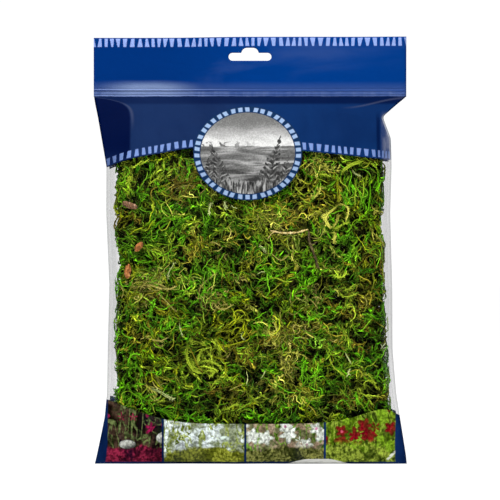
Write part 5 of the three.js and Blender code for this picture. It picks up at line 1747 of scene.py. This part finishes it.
bits = {
    "twigRadius": 1.1,
    "strawRadius": 0.62,
    "gloss": 0.2,
    "spur": [(44.9, 161), (47.4, 162.4), (49.4, 163.5)],
    "strawFork": [(18.5, 170.9), (15.6, 169), (13.2, 165.6)],
    # bumps on the straw: place along it, how much thicker
    "strawKnots": [(0.12, 0.5), (0.36, 0.6), (0.52, 0.9), (0.6, 0.7), (0.83, 0.8)],
    "flakeOutline": [(-0.5, -0.1), (-0.28, -0.42), (0.1, -0.5), (0.44, -0.3), (0.5, 0.12), (0.2, 0.46),
                     (-0.3, 0.4)],
    "leaf": {"x": -88.5, "z": 190.3, "length": 12, "radius": 2.6, "turn": 0.35},
    # dark, middle and light tone
    "looks": {
        "dark_twig": (fromSrgb(24, 18, 8), fromSrgb(72, 60, 32), fromSrgb(128, 116, 70)),
        "dry_straw": (fromSrgb(126, 104, 52), fromSrgb(190, 170, 106), fromSrgb(232, 216, 160)),
        "brown_leaf": (fromSrgb(52, 34, 20), fromSrgb(116, 82, 56), fromSrgb(176, 138, 112)),
        "bark": (fromSrgb(74, 40, 16), fromSrgb(158, 98, 48), fromSrgb(214, 156, 96)),
    },
}
flakes = [
    {"name": "bark_flake_upper", "piece": "barkFlakeUpper", "x": -82, "z": 159.6, "length": 9, "width": 4.6,
     "turn": 0.9},
    {"name": "bark_flake_lower", "piece": "barkFlakeLower", "x": -90, "z": 141.5, "length": 11, "width": 5,
     "turn": 1.45},
]


def buildDryFibre():
    # streaky dry plant tissue: grain, pale flecks and dark pores
    group, (place, dark, middle, light), made = newGroup(
        "dryFibre", "Place:Vector Dark:Color Middle:Color Light:Color", "Color:Color Roughness Height")
    grain = noise(place, 900, 4.0, 0.8, (1.0, 1.0, 0.3))
    blotch = noise(place, 260, 3.0, 0.5)
    colour = mixColour(spread(grain, 0.3, 0.6), dark, middle)
    feed(mixColour(spread(blotch, 0.5, 0.75), colour, light), made["Color"])
    feed(spread(grain, 0.3, 0.7, 0.55, 0.8), made["Roughness"])
    feed(grain + blotch * 0.6, made["Height"])
    return group


dryFibre = buildDryFibre()


def dryMaterial(slotName):
    material, tree, shader = newMaterial(slotName.replace("_", "") + "Fibre")
    dark, middle, light = bits["looks"][slotName]
    fibre = useGroup(dryFibre, Place=objectPlace(tree), Dark=dark, Middle=middle, Light=light)
    dress(shader, fibre["Color"], fibre["Roughness"], bits["gloss"], fibre["Height"], 0.7, 0.0006)
    return material


def behindFilm(x, z, depth):
    return -(panelDepth(bagAt(z), x) - bag["filmThickness"] - depth)


def turnFlat(x, z, angle):
    return x * math.cos(angle) - z * math.sin(angle), x * math.sin(angle) + z * math.cos(angle)


def stickMesh(way, radius, sides, count, random, knots=()):
    line = smoothWay(way, count)
    wander = np.cumsum(random.normal(0, 0.05, (count, 2)), axis=0)
    x, z = (line + wander - wander[0]).T
    t = np.linspace(0, 1, count)
    thick = radius * (0.85 + 0.12 * np.convolve(random.normal(0, 1, count), [0.3, 0.4, 0.3], "same"))
    for place, more in knots:
        thick += radius * more * np.exp(-((t - place) / 0.022) ** 2)
    thick *= np.clip(np.minimum(t, 1 - t) * 14 + 0.45, 0, 1)
    paths = stack(x, behindFilm(x, z, radius + 0.7), z)[None]
    outs = np.tile([0.0, -1.0, 0.0], (1, count, 1))
    stick = tubes(paths, outs, thick[None], np.zeros((1, count)), sides)
    points = stick["points"][0]
    points = points + random.normal(0, 0.05, points.shape) * radius
    return points, sum(stick["faces"], [])


def flakeMesh(flake, random):
    # a cupped chip: rings from the middle out to an uneven rim, front and back
    rim = smoothWay(bits["flakeOutline"] + bits["flakeOutline"][:1], 43)[:-1]
    rim *= (1 + 0.07 * np.convolve(random.normal(0, 1, len(rim)), [0.25, 0.5, 0.25], "same"))[:, None]
    rings = np.linspace(0.12, 1, 8)
    flat = rings[:, None, None] * rim[None] * [flake["length"], flake["width"]]
    cup = 0.55 * (1 - rings[:, None] ** 2) + random.normal(0, 0.07, flat.shape[:2])
    half = 0.42 * (1.02 - rings[:, None] ** 6)
    x, z = turnFlat(flat[..., 0], flat[..., 1], flake["turn"])
    y = behindFilm(flake["x"], flake["z"], 1.8) - cup
    sides = [stack(flake["x"] + x, y + sign * half, flake["z"] + z).reshape(-1, 3) for sign in (-1, 1)]
    count, size = len(rim), len(sides[0])
    grid = gridFaces(len(rings), count, closed=True)
    middle = [tuple(range(count))]
    faces = grid + shifted(grid, size, turned=True) + shifted(middle, 0, turned=True) + shifted(middle, size)
    edge = [(i, (i + 1) % count, size + (i + 1) % count, size + i) for i in range(count)]
    return np.vstack(sides), faces + shifted(edge, size - count)


def leafMesh():
    # a dry leaf rolled into a gutter that opens to the front, torn at both ends
    leaf = bits["leaf"]
    rows, columns = 30, 22
    u = np.linspace(-0.5, 0.5, rows)[:, None]
    v = np.linspace(0, 1, columns)[None, :]
    taper = 0.5 + 0.5 * np.sqrt(np.clip(1 - (2 * u) ** 2, 0, 1))
    rough = 0.14 * np.sin(u * 31 + v * 5) + 0.1 * np.sin(v * 17 + u * 12)
    angle = -0.5 + (math.pi + 0.9) * v * (0.8 + 0.2 * taper) + 0.1 * np.sin(u * 19)
    along = u * (leaf["length"] * (1 - 0.16 * np.sin(v * 9) ** 2))
    middle = behindFilm(leaf["x"], leaf["z"], leaf["radius"] + 0.7)
    sheets = []
    for inset in (0.0, 0.35):
        radius = (leaf["radius"] - 0.3 - inset) * taper + rough
        x, z = turnFlat(along, -radius * np.cos(angle), -leaf["turn"])
        sheets.append(stack(leaf["x"] + x, middle - radius * np.sin(angle), leaf["z"] + z).reshape(-1, 3))
    return np.vstack(sheets), shellFaces(rows, columns)


def buildBits():
    random = np.random.default_rng(7)
    twigWay, strawWay = debrisWays[0][0], debrisWays[1][0]
    twig = joinMeshes([stickMesh(twigWay, bits["twigRadius"], 10, 60, random),
                       stickMesh(bits["spur"], bits["twigRadius"] * 0.55, 7, 16, random)])
    straw = joinMeshes([stickMesh(strawWay, bits["strawRadius"], 8, 70, random, bits["strawKnots"]),
                        stickMesh(bits["strawFork"], bits["strawRadius"] * 0.6, 6, 18, random)])
    made = [("twigStick", "twig", "dark_twig", twig), ("strawStalk", "straw", "dry_straw", straw),
            ("rolledLeaf", "dry_leaf", "brown_leaf", leafMesh())]
    made += [(flake["piece"], flake["name"], "bark", flakeMesh(flake, random)) for flake in flakes]
    materials = {slotName: dryMaterial(slotName) for slotName in bits["looks"]}
    for pieceName, node, slotName, (points, faces) in made:
        attach(makePiece(pieceName, points, faces), slotName, materials[slotName], [node])
    print("woodland bits", len(made), "pieces")


# Light, floor and camera

studio = {
    "pixel": 0.739,
    "imageHalf": 250,
    "groundRow": 463,
    "lens": 180,
    "sensor": 36,
}


def addArea(name, place, size, power):
    data = bpy.data.lights.new(name, "AREA")
    data.shape = "RECTANGLE"
    data.size, data.size_y = size
    data.energy = power
    light = addObject(name, data)
    light.location = place
    light.rotation_euler = (Vector((0, 0, 0.15)) - Vector(place)).to_track_quat("-Z", "Y").to_euler()


def buildStudio():
    world = bpy.data.worlds.new("studioWhite")
    bpy.context.scene.world = world
    world.use_nodes = True
    background = world.node_tree.nodes["Background"]
    background.inputs["Color"].default_value = (1, 1, 1, 1)
    seen = source(world.node_tree, "LightPath", "Is Camera Ray")
    feed(spread(seen, 0, 1, 0.07, 1.05), background.inputs["Strength"])
    corners = [(-9, -9, 0), (9, -9, 0), (9, 9, 0), (-9, 9, 0)]
    mesh = bpy.data.meshes.new("floor")
    mesh.from_pydata(corners, [], [(0, 1, 2, 3)])
    material, tree, shader = newMaterial("paleFloor")
    shader.inputs["Roughness"].default_value = 0.9
    shader.inputs["Emission Color"].default_value = (1, 1, 1, 1)
    seen = source(tree, "LightPath", "Is Camera Ray")
    feed(mixColour(seen, (0.9, 0.9, 0.9, 1), (0.05, 0.05, 0.05, 1)), shader.inputs["Base Color"])
    feed(spread(seen, 0, 1, 0.05, 1.0), shader.inputs["Emission Strength"])
    mesh.materials.append(material)
    floor = addObject("floor", mesh)
    addArea("keyLight", (-0.4, -0.85, 1.85), (0.3, 0.26), 66)
    addArea("fillLight", (1.0, -1.6, 0.5), (0.8, 0.8), 6)
    addArea("backLight", (0.3, 1.6, 1.1), (1.2, 1.0), 22)


def buildCamera():
    pixel = studio["pixel"] * mm
    data = bpy.data.cameras.new("camera")
    data.lens = studio["lens"]
    data.sensor_width = studio["sensor"]
    data.clip_end = 60
    distance = studio["imageHalf"] * pixel / (studio["sensor"] / 2 / studio["lens"])
    camera = addObject("camera", data)
    camera.location = (0, -distance - 0.016, (studio["groundRow"] - studio["imageHalf"]) * pixel)
    camera.rotation_euler = (math.pi / 2, 0, 0)
    bpy.context.scene.camera = camera
    bpy.context.scene.view_settings.view_transform = "Standard"


buildStudio()
buildCamera()
buildHeader()
buildWindow()
buildFoot()
buildMoss()
buildBits()
